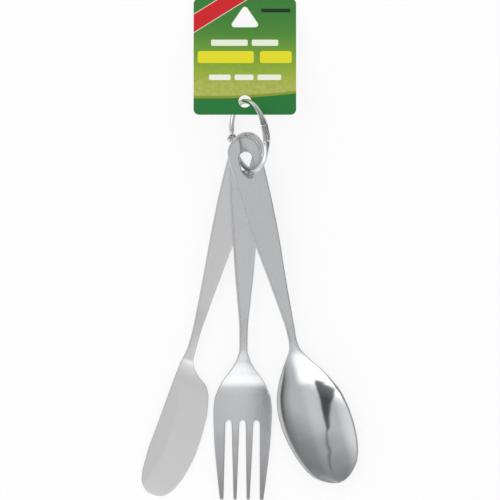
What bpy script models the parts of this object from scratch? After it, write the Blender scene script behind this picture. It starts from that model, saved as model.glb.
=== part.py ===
"""Travel cutlery set lying on a table: a steel knife, fork and spoon fanned out on a hinged
snap ring, with a printed hang card on the same ring.

Seen from above, +Y runs up towards the card, +X is to the right and +Z is up from the table.
Every length below is in millimetres; the meshes are scaled to metres when they are made.
"""
import math

import bmesh
import bpy
from mathutils import Matrix, Vector

for old in list(bpy.data.objects):
    bpy.data.objects.remove(old, do_unlink=True)

MM = 0.001
STEEPEST = 25.0                 # no piece leans on the ring more steeply than this, degrees

# Handles. All three pieces share one handle end. Distances called s run along a piece from the
# handle end (s = 0) to the tip.
HANDLE_W = 16.4                 # widest part of the handle, just behind the end
END_R = 8.4                     # how far the rounded end reaches along the handle
PLATE = 1.8                     # handle thickness
PLATE_TOP = 1.1                 # handle top above the level where the wire crosses it
PLATE_BOTTOM = PLATE_TOP - PLATE
EDGE_R = 0.75                   # rounding along the handle edges
BOWL_EDGE_R = 0.55              # rounding along the rim of the spoon and the fork's head
BLADE_EDGE_R = 0.3
END_EASE = 1.2                  # length over which a piece thins towards its two ends
STACK_AIR = 0.35                # between two handles on the wire
STACK_PITCH = PLATE + STACK_AIR

# Slotted hole in each handle, with a shallow dish round it and a groove to the end.
HOLE_W = 6.6
HOLE_L = 11.6
HOLE_S = 13.5                   # centre of the hole from the handle end
CROSSING_BELOW = 2.9            # the wire crosses this far headwards of the hole centre
DISH_W = 7.9
DISH_L = 14.8
DISH_AT_RIM = 0.4               # depth of the dish at the edge of the hole
GROOVE_W = 2.0
GROOVE_DEEP = 0.25
PIVOT_S = HOLE_S + CROSSING_BELOW
FORK_Z = 10.35                  # height of the fork where the wire crosses it

SPOON_L = 177.0
FORK_L = 180.2
KNIFE_L = 185.5
KNIFE_YAW = -15.5               # how far each piece is fanned out from straight down, degrees
FORK_YAW = -0.7
SPOON_YAW = 14.8

# Snap ring.
RING_R = 17.1                   # centre line of the wire
WIRE_R = 1.2
RING_TILT = 60.8                # angle between the ring's plane and the table, degrees
RING_YAW = 8.0                  # the ring's level axis, turned left of +Y, degrees
KNUCKLE_R = 1.8                 # hinge ears on the lower half
KNUCKLE_HALF = 1.6              # half the width over both ears
TONGUE_HALF = 0.6               # half the thickness of the tongue between the ears
TONGUE_R = 1.5
HINGE_AIR = 0.15                # clearance on each side of the tongue
PIN_R = 0.75
PIN_AIR = 0.1                   # clearance round the rivet and under its heads
HEAD_R = 1.3                    # domed heads of the rivet
HEAD_H = 0.85
SNAP_HALF_W = 1.95              # half the width over the two lapped ends
SNAP_HALF_H = 0.95              # half the depth of the lapped ends, towards the ring's centre
SNAP_LAP = 13.5                 # half the lap, as an angle on the ring, degrees
SNAP_AIR = 0.3                  # clearance between the lapped ends
SNAP_SWELL = 22.0               # over this many degrees the wire swells towards the snap
TONGUE_FROM = -82.6             # the upper wire thins to the tongue between these angles
TONGUE_TO = -76.0

# Hang card.
CARD_W = 50.4
CARD_L = 60.3
CARD_T = 0.55
CARD_CORNER = 2.8
CARD_HOLE_D = 6.35
CARD_HOLE_UP = 6.95             # round hole above the card's near edge
CARD_CROSS_T = -3.0             # where on the ring the card hangs, degrees from its level axis
CARD_HOLE_DX = 0.7              # hole centre to the right of the wire
DELTA_W = 13.0                  # rounded triangular hang hole
DELTA_H = 10.6
DELTA_BASE_UP = 45.3            # its flat side above the card's near edge
DELTA_R = 1.4

# Outlines and side views are rows joined by a smooth curve. The first number of a row is the
# place along the piece as a share of its length. The second is a sideways size in half handle
# widths for HALF, LINE, SPINE and EDGE, and a height in plate thicknesses for the others.
SPOON_HALF = ((0.0475, 1), (0.1599, 0.939), (0.2932, 0.774), (0.4045, 0.537), (0.4932, 0.372),
              (0.548, 0.28), (0.5819, 0.256), (0.6056, 0.317), (0.6277, 0.561), (0.6503, 0.878),
              (0.6723, 1.195), (0.6949, 1.463), (0.7175, 1.695), (0.739, 1.866), (0.761, 1.988),
              (0.7836, 2.061), (0.8164, 2.104), (0.8503, 2.073), (0.8944, 1.939),
              (0.9169, 1.817), (0.939, 1.646), (0.961, 1.402))
SPOON_LINE = ((0.5424, 0), (0.6045, -0.073), (0.661, -0.14), (0.7232, -0.104), (0.791, 0.024),
              (0.8757, 0.232), (1, 0.561))     # sideways place of the bowl's centre line
SPOON_RIM = ((0.5367, 0.611), (0.5932, 0.694), (0.6554, 0.167), (0.7345, -0.611),
             (0.8136, -0.889), (0.9096, -0.611), (1, 0))
SPOON_DEPTH = ((0.5876, 0), (0.6215, 0.278), (0.661, 1.056), (0.7175, 1.889), (0.791, 2.278),
               (0.8475, 2.222), (0.9096, 1.722), (0.9605, 1), (1, 0.167))
SPOON_THICK = ((0.4972, 1), (0.5706, 1.278), (0.6271, 1), (0.6949, 0.694), (1, 0.611))

FORK_HALF = ((0.0466, 1), (0.157, 0.939), (0.3191, 0.665), (0.3857, 0.555), (0.4528, 0.415),
             (0.5327, 0.268), (0.5888, 0.256), (0.616, 0.415), (0.6382, 0.671), (0.6598, 1.012),
             (0.6815, 1.329), (0.7037, 1.549), (0.7253, 1.695), (0.7603, 1.756), (0.8352, 1.695),
             (0.9223, 1.512), (0.9928, 1.329))
FORK_MID = ((0.505, 0.111), (0.5716, 0.194), (0.6271, -0.389), (0.6881, -1.167),
            (0.7603, -1.667), (0.8047, -1.75), (0.8602, -1.444), (0.9323, -0.611), (1, 0.778))
FORK_CUP = ((0.5882, 0), (0.6715, 0.333), (0.7603, 0.5), (0.8713, 0.333), (1, 0.111))
FORK_THICK = ((0.4939, 1), (0.5716, 1.278), (0.6382, 1.056), (0.7714, 0.889), (1, 0.611))
SLOT_L = 38.9                   # from a slot's round root to the tips
SLOT_ROOT_W = 3.0
SLOT_TIP_W = 4.75
SLOT_X_ROOT = 6.9
SLOT_X_TIP = 6.45
TIP_R = 0.9

KNIFE_SPINE = ((0.0453, -1), (0.1526, -0.951), (0.2755, -0.78), (0.3817, -0.561),
               (0.4879, -0.366), (0.5606, -0.274), (0.593, -0.28), (0.6388, -0.451),
               (0.7024, -0.598), (0.8086, -0.78), (0.8933, -0.927), (0.9358, -0.927),
               (0.9596, -0.841))
KNIFE_EDGE = ((0.0453, 1), (0.1526, 0.951), (0.2755, 0.78), (0.3817, 0.561), (0.4879, 0.366),
              (0.5606, 0.274), (0.6178, 0.28), (0.6388, 0.415), (0.6604, 0.841), (0.6814, 1.439),
              (0.7024, 1.707), (0.724, 1.829), (0.766, 1.963), (0.8086, 1.976), (0.8512, 1.939),
              (0.8933, 1.799), (0.9358, 1.537), (0.9596, 1.317))
KNIFE_THICK = ((0.4852, 1), (0.5606, 1.333), (0.6146, 1.111), (0.6685, 0.722), (1, 0.611))
KNIFE_DROP = ((0.5606, 0), (0.6361, 0.278))    # the blade lies a little below the handle
KNIFE_GRIND = ((0.6253, 0.0), (0.6792, 1.0))    # where the ground bevel fades in
KNIFE_EDGE_T = 0.35             # thickness left along the cutting edge
KNIFE_BEVEL = 4.5               # width of the ground bevel


def smooth(rows, x):
    """Monotone smooth curve through (x, value) rows, held level outside them."""
    if x <= rows[0][0]:
        return rows[0][1]
    if x >= rows[-1][0]:
        return rows[-1][1]
    gaps = [b[0] - a[0] for a, b in zip(rows, rows[1:])]
    rises = [(b[1] - a[1]) / g for a, b, g in zip(rows, rows[1:], gaps)]
    slopes = [rises[0]]
    for left, right in zip(rises, rises[1:]):
        slopes.append(0.0 if left * right <= 0.0 else 2.0 * left * right / (left + right))
    slopes.append(rises[-1])
    k = max(i for i in range(len(gaps)) if rows[i][0] <= x)
    u = (x - rows[k][0]) / gaps[k]
    a = rows[k][1]
    b = rows[k + 1][1]
    first = (1.0 + 2.0 * u) * (1.0 - u) ** 2 * a + u * (1.0 - u) ** 2 * gaps[k] * slopes[k]
    second = u * u * (3.0 - 2.0 * u) * b - u * u * (1.0 - u) * gaps[k] * slopes[k + 1]
    return first + second


def wide(rows, share):
    """Sideways size from a table in half handle widths."""
    return 0.5 * HANDLE_W * smooth(rows, share)


def high(rows, share):
    """Height from a table in plate thicknesses."""
    return PLATE * smooth(rows, share)


def metal(name, rough, tint):
    mat = bpy.data.materials.new(name)
    mat.use_nodes = True
    shader = mat.node_tree.nodes["Principled BSDF"]
    shader.inputs["Base Color"].default_value = (tint, tint, tint * 1.01, 1.0)
    shader.inputs["Metallic"].default_value = 1.0
    shader.inputs["Roughness"].default_value = rough
    return mat


def paint(name, colour, rough):
    mat = bpy.data.materials.new(name)
    mat.use_nodes = True
    shader = mat.node_tree.nodes["Principled BSDF"]
    shader.inputs["Base Color"].default_value = colour
    shader.inputs["Roughness"].default_value = rough
    return mat


def make_object(name, bm, mat):
    """Turn a bmesh in millimetres into an object in metres with outward faces."""
    bmesh.ops.recalc_face_normals(bm, faces=bm.faces[:])
    bmesh.ops.scale(bm, vec=(MM, MM, MM), verts=bm.verts[:])
    mesh = bpy.data.meshes.new(name)
    bm.to_mesh(mesh)
    bm.free()
    mesh.materials.append(mat)
    obj = bpy.data.objects.new(name, mesh)
    bpy.context.scene.collection.objects.link(obj)
    return obj


def cut(target, cutter, operation="DIFFERENCE"):
    """Apply one hidden helper solid to the target as a live Boolean."""
    cutter.parent = target
    cutter.hide_render = True
    cutter.display_type = "WIRE"
    mod = target.modifiers.new(cutter.name, "BOOLEAN")
    mod.operation = operation
    mod.solver = "EXACT"
    mod.object = cutter


def skin(bm, rings):
    """Join equal rings of points into a closed skin with flat ends."""
    loops = [[bm.verts.new(p) for p in ring] for ring in rings]
    count = len(rings[0])
    for near, far in zip(loops, loops[1:]):
        for k in range(count):
            m = (k + 1) % count
            bm.faces.new((near[k], near[m], far[m], far[k]))
    bm.faces.new(loops[0][::-1])
    bm.faces.new(loops[-1])


def prism(outline, z0, z1):
    """Upright block with the given (x, y) outline."""
    bm = bmesh.new()
    skin(bm, [[(x, y, z) for x, y in outline] for z in (z0, z1)])
    return bm


def section(left, right, top, bottom, edge, n_top, n_bottom):
    """Closed (x, z) section of a flat piece with rounded sides."""
    inner_l = left + edge
    inner_r = right - edge
    pts = []
    for k in range(n_bottom):
        x = inner_l + (inner_r - inner_l) * k / (n_bottom - 1)
        pts.append((x, bottom(x)))
    for side, centre in ((1.0, inner_r), (-1.0, inner_l)):
        mid = 0.5 * (top(centre) + bottom(centre))
        half = 0.5 * (top(centre) - bottom(centre))
        for turn in (-45.0, 0.0, 45.0):
            a = math.radians(turn)
            pts.append((centre + side * edge * math.cos(a), mid + side * half * math.sin(a)))
        if side > 0.0:
            for k in range(n_top):
                x = inner_r + (inner_l - inner_r) * k / (n_top - 1)
                pts.append((x, top(x)))
    return pts


def handle_end(s, length, rows):
    """Half-width of the round end of a handle."""
    full = abs(wide(rows, END_R / length))
    return full * math.sqrt(max(0.0, 1.0 - ((END_R - s) / END_R) ** 2))


def stations(length, shares):
    """Places of the sections: close together round the handle's end, then by share of length."""
    turns = [math.radians(7.0 + 83.0 * k / 9) for k in range(10)]
    return [END_R * (1.0 - math.cos(turn)) for turn in turns] + [length * f for f in shares]


def thin_end(s, length):
    """Fraction of the full thickness left where the two ends are rounded over."""
    gap = min(s, length - s)
    if gap >= END_EASE:
        return 1.0
    return 0.45 + 0.55 * math.sqrt(max(0.0, 1.0 - ((END_EASE - gap) / END_EASE) ** 2))


def straight(share):
    """Centre line of a piece that isn't bent to a side."""
    return 0.0


def flatware(length, shares, left, right, top, bottom, edge, n_top, n_bottom, line=straight):
    """Skin a piece of flatware from its outline, its two faces and its centre line."""
    rings = []
    for s in stations(length, shares):
        share = s / length
        ease = thin_end(s, length)
        lo = left(s)
        hi = right(s)

        def upper(x, share=share, ease=ease):
            mid = 0.5 * (top(x, share) + bottom(x, share))
            return mid + ease * (top(x, share) - mid)

        def lower(x, share=share, ease=ease):
            mid = 0.5 * (top(x, share) + bottom(x, share))
            return mid - ease * (mid - bottom(x, share))

        rim = min(edge(share), 0.35 * (hi - lo))
        ring = section(lo, hi, upper, lower, rim, n_top, n_bottom)
        slope = (line(share + 0.001) - line(share - 0.001)) / (0.002 * length)
        rings.append([(line(share) + x, PIVOT_S - s + slope * x, z) for x, z in ring])
    bm = bmesh.new()
    skin(bm, rings)
    return bm


def stadium(width, length, count):
    """Slot outline, long way along y."""
    r = 0.5 * width
    offset = 0.5 * length - r
    pts = []
    for k in range(count):
        a = 2.0 * math.pi * (k + 0.5) / count
        shift = offset if math.sin(a) > 0.0 else -offset
        pts.append((r * math.cos(a), r * math.sin(a) + shift))
    return pts


def handle_cuts(target, name, mat):
    """Slotted hole, dish and groove of one handle."""
    centre_y = PIVOT_S - HOLE_S
    bm = prism(stadium(HOLE_W, HOLE_L, 32), -2.0 * PLATE, 2.0 * PLATE)
    bmesh.ops.translate(bm, verts=bm.verts[:], vec=(0.0, centre_y, 0.0))
    hole = make_object(name + "_hole_cutter", bm, mat)

    rim = 0.5 * HOLE_W
    brow = 0.5 * DISH_W
    lift = (brow ** 2 - rim ** 2 - DISH_AT_RIM ** 2) / (2.0 * DISH_AT_RIM)
    ball = math.hypot(lift, brow)
    bm = bmesh.new()
    bmesh.ops.create_uvsphere(bm, u_segments=36, v_segments=28, radius=ball)
    bmesh.ops.scale(bm, vec=(1.0, DISH_L / DISH_W, 1.0), verts=bm.verts[:])
    bmesh.ops.translate(bm, verts=bm.verts[:], vec=(0.0, centre_y, PLATE_TOP + lift))
    dish = make_object(name + "_dish_cutter", bm, mat)

    radius = ((0.5 * GROOVE_W) ** 2 + GROOVE_DEEP ** 2) / (2.0 * GROOVE_DEEP)
    reach = HOLE_S + GROOVE_W
    bm = bmesh.new()
    turn = Matrix.Rotation(math.radians(90.0), 4, "X")
    bmesh.ops.create_cone(bm, cap_ends=True, segments=40, radius1=radius, radius2=radius,
                          depth=reach, matrix=turn)
    up = PLATE_TOP + radius - GROOVE_DEEP
    bmesh.ops.translate(bm, verts=bm.verts[:], vec=(0.0, centre_y + 0.5 * reach, up))
    groove = make_object(name + "_groove_cutter", bm, mat)

    for tool in (dish, groove, hole):
        cut(target, tool)


def lowest(obj, slope, height):
    """Lowest point of an object once it is tipped by slope about x and raised."""
    a = math.radians(slope)
    return height + min(v.co.y * math.sin(a) + v.co.z * math.cos(a)
                        for v in obj.data.vertices) / MM


def settle(obj, height, sign):
    """Tip that lets a piece held at the given height rest its far end on the table."""
    clear = 0.0
    sunk = STEEPEST
    for _ in range(48):
        mid = 0.5 * (clear + sunk)
        if lowest(obj, sign * mid, height) > 0.0:
            clear = mid
        else:
            sunk = mid
    return sign * clear


# The ring's own axes: level axis, rising axis and the direction straight through the ring.
yaw = math.radians(RING_YAW)
tilt = math.radians(RING_TILT)
E1 = Vector((-math.sin(yaw), math.cos(yaw), 0.0))
E2 = Vector((math.cos(yaw) * math.cos(tilt), math.sin(yaw) * math.cos(tilt), math.sin(tilt)))
EN = E1.cross(E2)
RING_Z = (RING_R + KNUCKLE_R) * E2.z + KNUCKLE_HALF * abs(EN.z)
CENTRE = Vector((0.0, 0.0, RING_Z))


def ring_point(turn):
    """Point on the wire's centre line."""
    a = math.radians(turn)
    return CENTRE + RING_R * (math.cos(a) * E1 + math.sin(a) * E2)


def crossing(height):
    """Where the lower half of the wire passes through the given height, on the handle side."""
    rise = (height - RING_Z) / (RING_R * E2.z)
    return ring_point(180.0 - math.degrees(math.asin(rise)))


fork_pivot = crossing(FORK_Z)
knife_pivot = crossing(FORK_Z - STACK_PITCH)
spoon_pivot = crossing(FORK_Z + STACK_PITCH)
card_pivot = ring_point(CARD_CROSS_T)
hinge_point = ring_point(-90.0)

knife_steel = metal("knife_steel", 0.3, 0.6)
fork_steel = metal("fork_steel", 0.28, 0.58)
spoon_steel = metal("spoon_steel", 0.18, 0.55)
ring_lower_nickel = metal("ring_lower_nickel", 0.2, 0.66)
ring_upper_nickel = metal("ring_upper_nickel", 0.2, 0.66)
rivet_nickel = metal("rivet_nickel", 0.25, 0.62)
card_print = paint("card_print", (0.12, 0.33, 0.09, 1.0), 0.6)

# Spoon.
SPOON_CLOSE = SPOON_HALF[-1][0]     # from here on the tip is one round curve


def spoon_half(s):
    if s < END_R:
        return handle_end(s, SPOON_L, SPOON_HALF)
    share = s / SPOON_L
    if share > SPOON_CLOSE:
        return wide(SPOON_HALF, 1.0) * math.sqrt(max(0.0, (1.0 - share) / (1.0 - SPOON_CLOSE)))
    return wide(SPOON_HALF, share)


def spoon_line(share):
    """The bowl leans a little outwards from the handle."""
    return wide(SPOON_LINE, share)


def spoon_top(x, share):
    half = spoon_half(share * SPOON_L)
    across = max(0.0, 1.0 - abs(x / half) ** 2.3)
    return high(SPOON_RIM, share) - high(SPOON_DEPTH, share) * across


def spoon_bottom(x, share):
    return spoon_top(x, share) - high(SPOON_THICK, share)


def spoon_edge(share):
    return smooth(((0.52, EDGE_R), (0.66, BOWL_EDGE_R)), share)


spoon_shares = (0.1, 0.16, 0.226, 0.294, 0.362, 0.43, 0.497, 0.548, 0.576, 0.593, 0.607, 0.62,
                0.633, 0.645, 0.659, 0.675, 0.695, 0.718, 0.746, 0.78, 0.816, 0.853, 0.887,
                0.915, 0.938, 0.9565, 0.972, 0.984, 0.992, 0.997, 0.9994)
spoon = make_object("spoon", flatware(
    SPOON_L, spoon_shares, lambda s: -spoon_half(s), spoon_half, spoon_top, spoon_bottom,
    spoon_edge, 11, 11, spoon_line), spoon_steel)

# Fork.
FORK_CLOSE = FORK_HALF[-1][0]       # from here on the outer tines round over at their tips


def fork_half(s):
    if s < END_R:
        return handle_end(s, FORK_L, FORK_HALF)
    share = s / FORK_L
    full = wide(FORK_HALF, share)
    if share <= FORK_CLOSE:
        return full
    left = max(0.0, (1.0 - share) / (1.0 - FORK_CLOSE))
    return full - TIP_R * (1.0 - math.sqrt(1.0 - (1.0 - left) ** 2))


def fork_mid(x, share):
    across = max(0.0, 1.0 - (x / fork_half(share * FORK_L)) ** 2)
    return high(FORK_MID, share) - high(FORK_CUP, share) * across


def fork_top(x, share):
    return fork_mid(x, share) + 0.5 * high(FORK_THICK, share)


def fork_bottom(x, share):
    return fork_mid(x, share) - 0.5 * high(FORK_THICK, share)


def fork_edge(share):
    return smooth(((0.53, EDGE_R), (0.67, BOWL_EDGE_R)), share)


fork_shares = (0.1, 0.155, 0.233, 0.316, 0.388, 0.455, 0.522, 0.566, 0.594, 0.61, 0.625, 0.638,
               0.6515, 0.666, 0.6815, 0.7015, 0.727, 0.755, 0.7825, 0.81, 0.838, 0.8657, 0.893,
               0.921, 0.949, 0.974, 0.9928, 0.997, 0.9994)
fork = make_object("fork", flatware(
    FORK_L, fork_shares, lambda s: -fork_half(s), fork_half, fork_top, fork_bottom,
    fork_edge, 9, 9), fork_steel)


def slot_outline(root_x, tip_x):
    """Gap between two tines: round root, widening to the tips, flared past them."""
    r = 0.5 * SLOT_ROOT_W
    tip_y = PIVOT_S - FORK_L
    root_y = tip_y + SLOT_L - r
    pts = []
    for k in range(9):
        a = math.radians(180.0 - 180.0 * k / 8)
        pts.append((root_x + r * math.cos(a), root_y + r * math.sin(a)))
    right = []
    for k in range(5):
        a = math.radians(90.0 * k / 4)
        right.append((0.5 * SLOT_TIP_W + TIP_R * (1.0 - math.cos(a)),
                      tip_y + TIP_R * (1.0 - math.sin(a))))
    right.append((0.5 * SLOT_TIP_W + TIP_R, tip_y - 1.5 * TIP_R))
    pts += [(tip_x + dx, y) for dx, y in right]
    pts += [(tip_x - dx, y) for dx, y in reversed(right)]
    return pts


for label, root_x, tip_x in (("left", -SLOT_X_ROOT, -SLOT_X_TIP), ("centre", 0.0, 0.0),
                             ("right", SLOT_X_ROOT, SLOT_X_TIP)):
    slot = make_object("fork_slot_" + label,
                       prism(slot_outline(root_x, tip_x), -6.0 * PLATE, 4.0 * PLATE), fork_steel)
    cut(fork, slot)

# Knife.
KNIFE_CLOSE = KNIFE_SPINE[-1][0]    # from here on the nose is one round curve


def knife_side(rows, s):
    """Signed distance of one long side from the centre line."""
    if s < END_R:
        return math.copysign(handle_end(s, KNIFE_L, rows), rows[0][1])
    share = s / KNIFE_L
    if share <= KNIFE_CLOSE:
        return wide(rows, share)
    nose = 0.5 * (wide(KNIFE_SPINE, 1.0) + wide(KNIFE_EDGE, 1.0))
    u = (share - KNIFE_CLOSE) / (1.0 - KNIFE_CLOSE)
    return nose + (wide(rows, 1.0) - nose) * math.sqrt(max(0.0, 1.0 - u ** 2.2))


def knife_left(s):
    return knife_side(KNIFE_SPINE, s)


def knife_right(s):
    return knife_side(KNIFE_EDGE, s)


def knife_bottom(x, share):
    return PLATE_BOTTOM - high(KNIFE_DROP, share)


def knife_top(x, share):
    full = high(KNIFE_THICK, share)
    inside = min(1.0, max(0.0, (knife_right(share * KNIFE_L) - x) / KNIFE_BEVEL))
    ground = KNIFE_EDGE_T + (full - KNIFE_EDGE_T) * inside
    return knife_bottom(x, share) + full + smooth(KNIFE_GRIND, share) * (ground - full)


def knife_edge(share):
    return smooth(((0.51, EDGE_R), (0.67, BLADE_EDGE_R)), share)


knife_shares = (0.097, 0.151, 0.216, 0.275, 0.329, 0.383, 0.437, 0.49, 0.539, 0.5714, 0.598, 0.62,
                0.639, 0.651, 0.663, 0.676, 0.693, 0.717, 0.755, 0.809, 0.8625, 0.9, 0.936,
                0.9596, 0.9725, 0.983, 0.992, 0.997, 0.9994)
knife = make_object("knife", flatware(
    KNIFE_L, knife_shares, knife_left, knife_right, knife_top, knife_bottom,
    knife_edge, 7, 3), knife_steel)

# Stand each piece on the wire and let its head down to the table.
for piece, pivot, turn in ((knife, knife_pivot, KNIFE_YAW), (fork, fork_pivot, FORK_YAW),
                           (spoon, spoon_pivot, SPOON_YAW)):
    handle_cuts(piece, piece.name, piece.data.materials[0])
    slope = settle(piece, pivot.z, 1.0)
    place = Matrix.Rotation(math.radians(turn), 4, "Z")
    place = place @ Matrix.Rotation(math.radians(slope), 4, "X")
    piece.matrix_world = Matrix.Translation(pivot * MM) @ place
    print(piece.name, "slope", round(slope, 4))

# Ring halves, drawn in the ring's plane: x level, y rising, z through the ring.
HINGE_XY = (0.0, -RING_R)


def wire(turns, deep, broad, sides):
    """Sweep an oval section round the ring."""
    rings = []
    for turn in turns:
        a = math.radians(turn)
        ring = []
        for k in range(sides):
            b = 2.0 * math.pi * k / sides
            r = RING_R + deep(turn) * math.cos(b)
            ring.append((r * math.cos(a), r * math.sin(a), broad(turn) * math.sin(b)))
        rings.append(ring)
    bm = bmesh.new()
    skin(bm, rings)
    return bm


def drum(x, y, radius, half, segments):
    """Short cylinder across the ring's plane."""
    bm = bmesh.new()
    bmesh.ops.create_cone(bm, cap_ends=True, segments=segments, radius1=radius, radius2=radius,
                          depth=2.0 * half)
    bmesh.ops.translate(bm, verts=bm.verts[:], vec=(x, y, 0.0))
    return bm


def lap_block(x0, x1, z0, z1):
    """Block across the wire at the snap."""
    y0 = RING_R - 4.0 * WIRE_R
    y1 = RING_R + 4.0 * WIRE_R
    return prism([(x0, y0), (x1, y0), (x1, y1), (x0, y1)], z0, z1)


def spread(first, last, count):
    return [first + (last - first) * k / (count - 1) for k in range(count)]


CLEAR = 0.5 * RING_R                # reach of the lap cutters, well past the wire
LAP_X = RING_R * math.sin(math.radians(SNAP_LAP))
LAP_END = SNAP_LAP - 1.3 * math.degrees(SNAP_AIR / RING_R)
SWELL = ((SNAP_LAP, 1.0), (SNAP_LAP + SNAP_SWELL, 0.0))


def near_snap(turn):
    return smooth(SWELL, abs(turn - 90.0))


def snap_deep(turn):
    return WIRE_R + (SNAP_HALF_H - WIRE_R) * near_snap(turn)


def lower_broad(turn):
    return WIRE_R + (SNAP_HALF_W - WIRE_R) * near_snap(turn)


SLIM = ((-90.0, 0.92 * TONGUE_HALF), (TONGUE_FROM, TONGUE_HALF), (TONGUE_TO, WIRE_R))


def upper_broad(turn):
    return smooth(SLIM, turn) + (SNAP_HALF_W - WIRE_R) * near_snap(turn)


lower_swell = 90.0 + SNAP_LAP + SNAP_SWELL
upper_swell = 90.0 - SNAP_LAP - SNAP_SWELL
lower_turns = [90.0 - LAP_END, 83.0, 90.0, 97.0] + spread(90.0 + SNAP_LAP, lower_swell, 5)[:-1]
lower_turns += spread(lower_swell, 270.0, 19)
ring_lower = make_object("ring_lower", wire(lower_turns, snap_deep, lower_broad, 14),
                         ring_lower_nickel)
cut(ring_lower, make_object("lower_knuckle", drum(*HINGE_XY, KNUCKLE_R, KNUCKLE_HALF, 28),
                            ring_lower_nickel), "UNION")
cut(ring_lower, make_object("lower_slot", drum(*HINGE_XY, KNUCKLE_R + HINGE_AIR,
                                               TONGUE_HALF + HINGE_AIR, 28), ring_lower_nickel))
pin_hole = drum(*HINGE_XY, PIN_R + PIN_AIR, 4.0 * KNUCKLE_HALF, 20)
cut(ring_lower, make_object("lower_pin_hole", pin_hole, ring_lower_nickel))
lap = lap_block(-LAP_X, CLEAR, -CLEAR, 0.5 * SNAP_AIR)
cut(ring_lower, make_object("lower_lap", lap, ring_lower_nickel))

upper_turns = [-90.0] + spread(-86.0, TONGUE_TO, 4) + spread(TONGUE_TO, upper_swell, 18)[1:-1]
upper_turns += spread(upper_swell, 90.0 - SNAP_LAP, 5) + [83.0, 90.0, 97.0, 90.0 + LAP_END]
ring_upper = make_object("ring_upper", wire(upper_turns, snap_deep, upper_broad, 14),
                         ring_upper_nickel)
cut(ring_upper, make_object("upper_tongue", drum(*HINGE_XY, TONGUE_R, TONGUE_HALF, 28),
                            ring_upper_nickel), "UNION")
pin_hole = drum(*HINGE_XY, PIN_R + PIN_AIR, 4.0 * KNUCKLE_HALF, 20)
cut(ring_upper, make_object("upper_pin_hole", pin_hole, ring_upper_nickel))
lap = lap_block(-CLEAR, LAP_X, -0.5 * SNAP_AIR, CLEAR)
cut(ring_upper, make_object("upper_lap", lap, ring_upper_nickel))

# Rivet: a pin with a domed head on each side, turned as one profile.
head_from = KNUCKLE_HALF + PIN_AIR
profile = [(0.0, -head_from - HEAD_H)]
for k in range(1, 6):
    a = math.radians(90.0 * k / 5)
    profile.append((HEAD_R * math.sin(a), -head_from - HEAD_H * math.cos(a)))
profile += [(PIN_R, -head_from), (PIN_R, head_from)]
profile += [(r, -z) for r, z in reversed(profile[:-2])]
bm = bmesh.new()
chain = [bm.verts.new((r, 0.0, z)) for r, z in profile]
edges = [bm.edges.new(pair) for pair in zip(chain, chain[1:])]
bmesh.ops.spin(bm, geom=chain + edges, cent=(0.0, 0.0, 0.0), axis=(0.0, 0.0, 1.0),
               angle=2.0 * math.pi, steps=20, use_merge=True)
bmesh.ops.remove_doubles(bm, verts=bm.verts[:], dist=0.0001)
bmesh.ops.translate(bm, verts=bm.verts[:], vec=(*HINGE_XY, 0.0))
hinge_rivet = make_object("hinge_rivet", bm, rivet_nickel)

ring_axes = Matrix((E1, E2, EN)).transposed().to_4x4()
for piece, pivot in ((ring_lower, fork_pivot), (ring_upper, hinge_point),
                     (hinge_rivet, hinge_point)):
    place = Matrix.Translation(pivot * MM) @ ring_axes
    shift = place.inverted() @ (CENTRE * MM)
    piece.data.transform(Matrix.Translation(shift))
    for tool in bpy.data.objects:
        if tool.parent == piece:
            tool.data.transform(Matrix.Translation(shift))
    piece.matrix_world = place

# Hang card. The wire passes through its round hole, left of the hole's middle.


def rounded_box(width, length, radius, steps):
    pts = []
    for sx, sy, start in ((1, 1, 0.0), (-1, 1, 90.0), (-1, -1, 180.0), (1, -1, 270.0)):
        cx = sx * (0.5 * width - radius)
        cy = sy * (0.5 * length - radius)
        for k in range(steps + 1):
            a = math.radians(start + 90.0 * k / steps)
            pts.append((cx + radius * math.cos(a), cy + radius * math.sin(a)))
    return pts


def delta_outline(width, height, radius, steps):
    """Rounded triangle, flat side down at y = 0."""
    half = 0.5 * width - radius
    rise = height - 2.0 * radius
    lean = math.degrees(math.atan2(rise, half))
    corners = ((half, radius, -90.0, 90.0 - lean), (0.0, radius + rise, 90.0 - lean, 90.0 + lean),
               (-half, radius, 90.0 + lean, 270.0))
    pts = []
    for cx, cy, start, stop in corners:
        for k in range(steps + 1):
            a = math.radians(start + (stop - start) * k / steps)
            pts.append((cx + radius * math.cos(a), cy + radius * math.sin(a)))
    return pts


card_bm = prism(rounded_box(CARD_W, CARD_L, CARD_CORNER, 6), -0.5 * CARD_T, 0.5 * CARD_T)
card_mid = (CARD_HOLE_DX, 0.5 * CARD_L - CARD_HOLE_UP, 0.0)
bmesh.ops.translate(card_bm, verts=card_bm.verts[:], vec=card_mid)
hang_card = make_object("hang_card", card_bm, card_print)
card_hole = drum(CARD_HOLE_DX, 0.0, 0.5 * CARD_HOLE_D, 5.0 * CARD_T, 32)
cut(hang_card, make_object("card_hole_cutter", card_hole, card_print))
delta = prism(delta_outline(DELTA_W, DELTA_H, DELTA_R, 6), -5.0 * CARD_T, 5.0 * CARD_T)
delta_low = (CARD_HOLE_DX, DELTA_BASE_UP - CARD_HOLE_UP, 0.0)
bmesh.ops.translate(delta, verts=delta.verts[:], vec=delta_low)
cut(hang_card, make_object("card_delta_cutter", delta, card_print))
card_slope = settle(hang_card, card_pivot.z, -1.0)
hang_card.matrix_world = (Matrix.Translation(card_pivot * MM)
                          @ Matrix.Rotation(math.radians(card_slope), 4, "X"))
print("hang_card slope", round(card_slope, 4))

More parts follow.
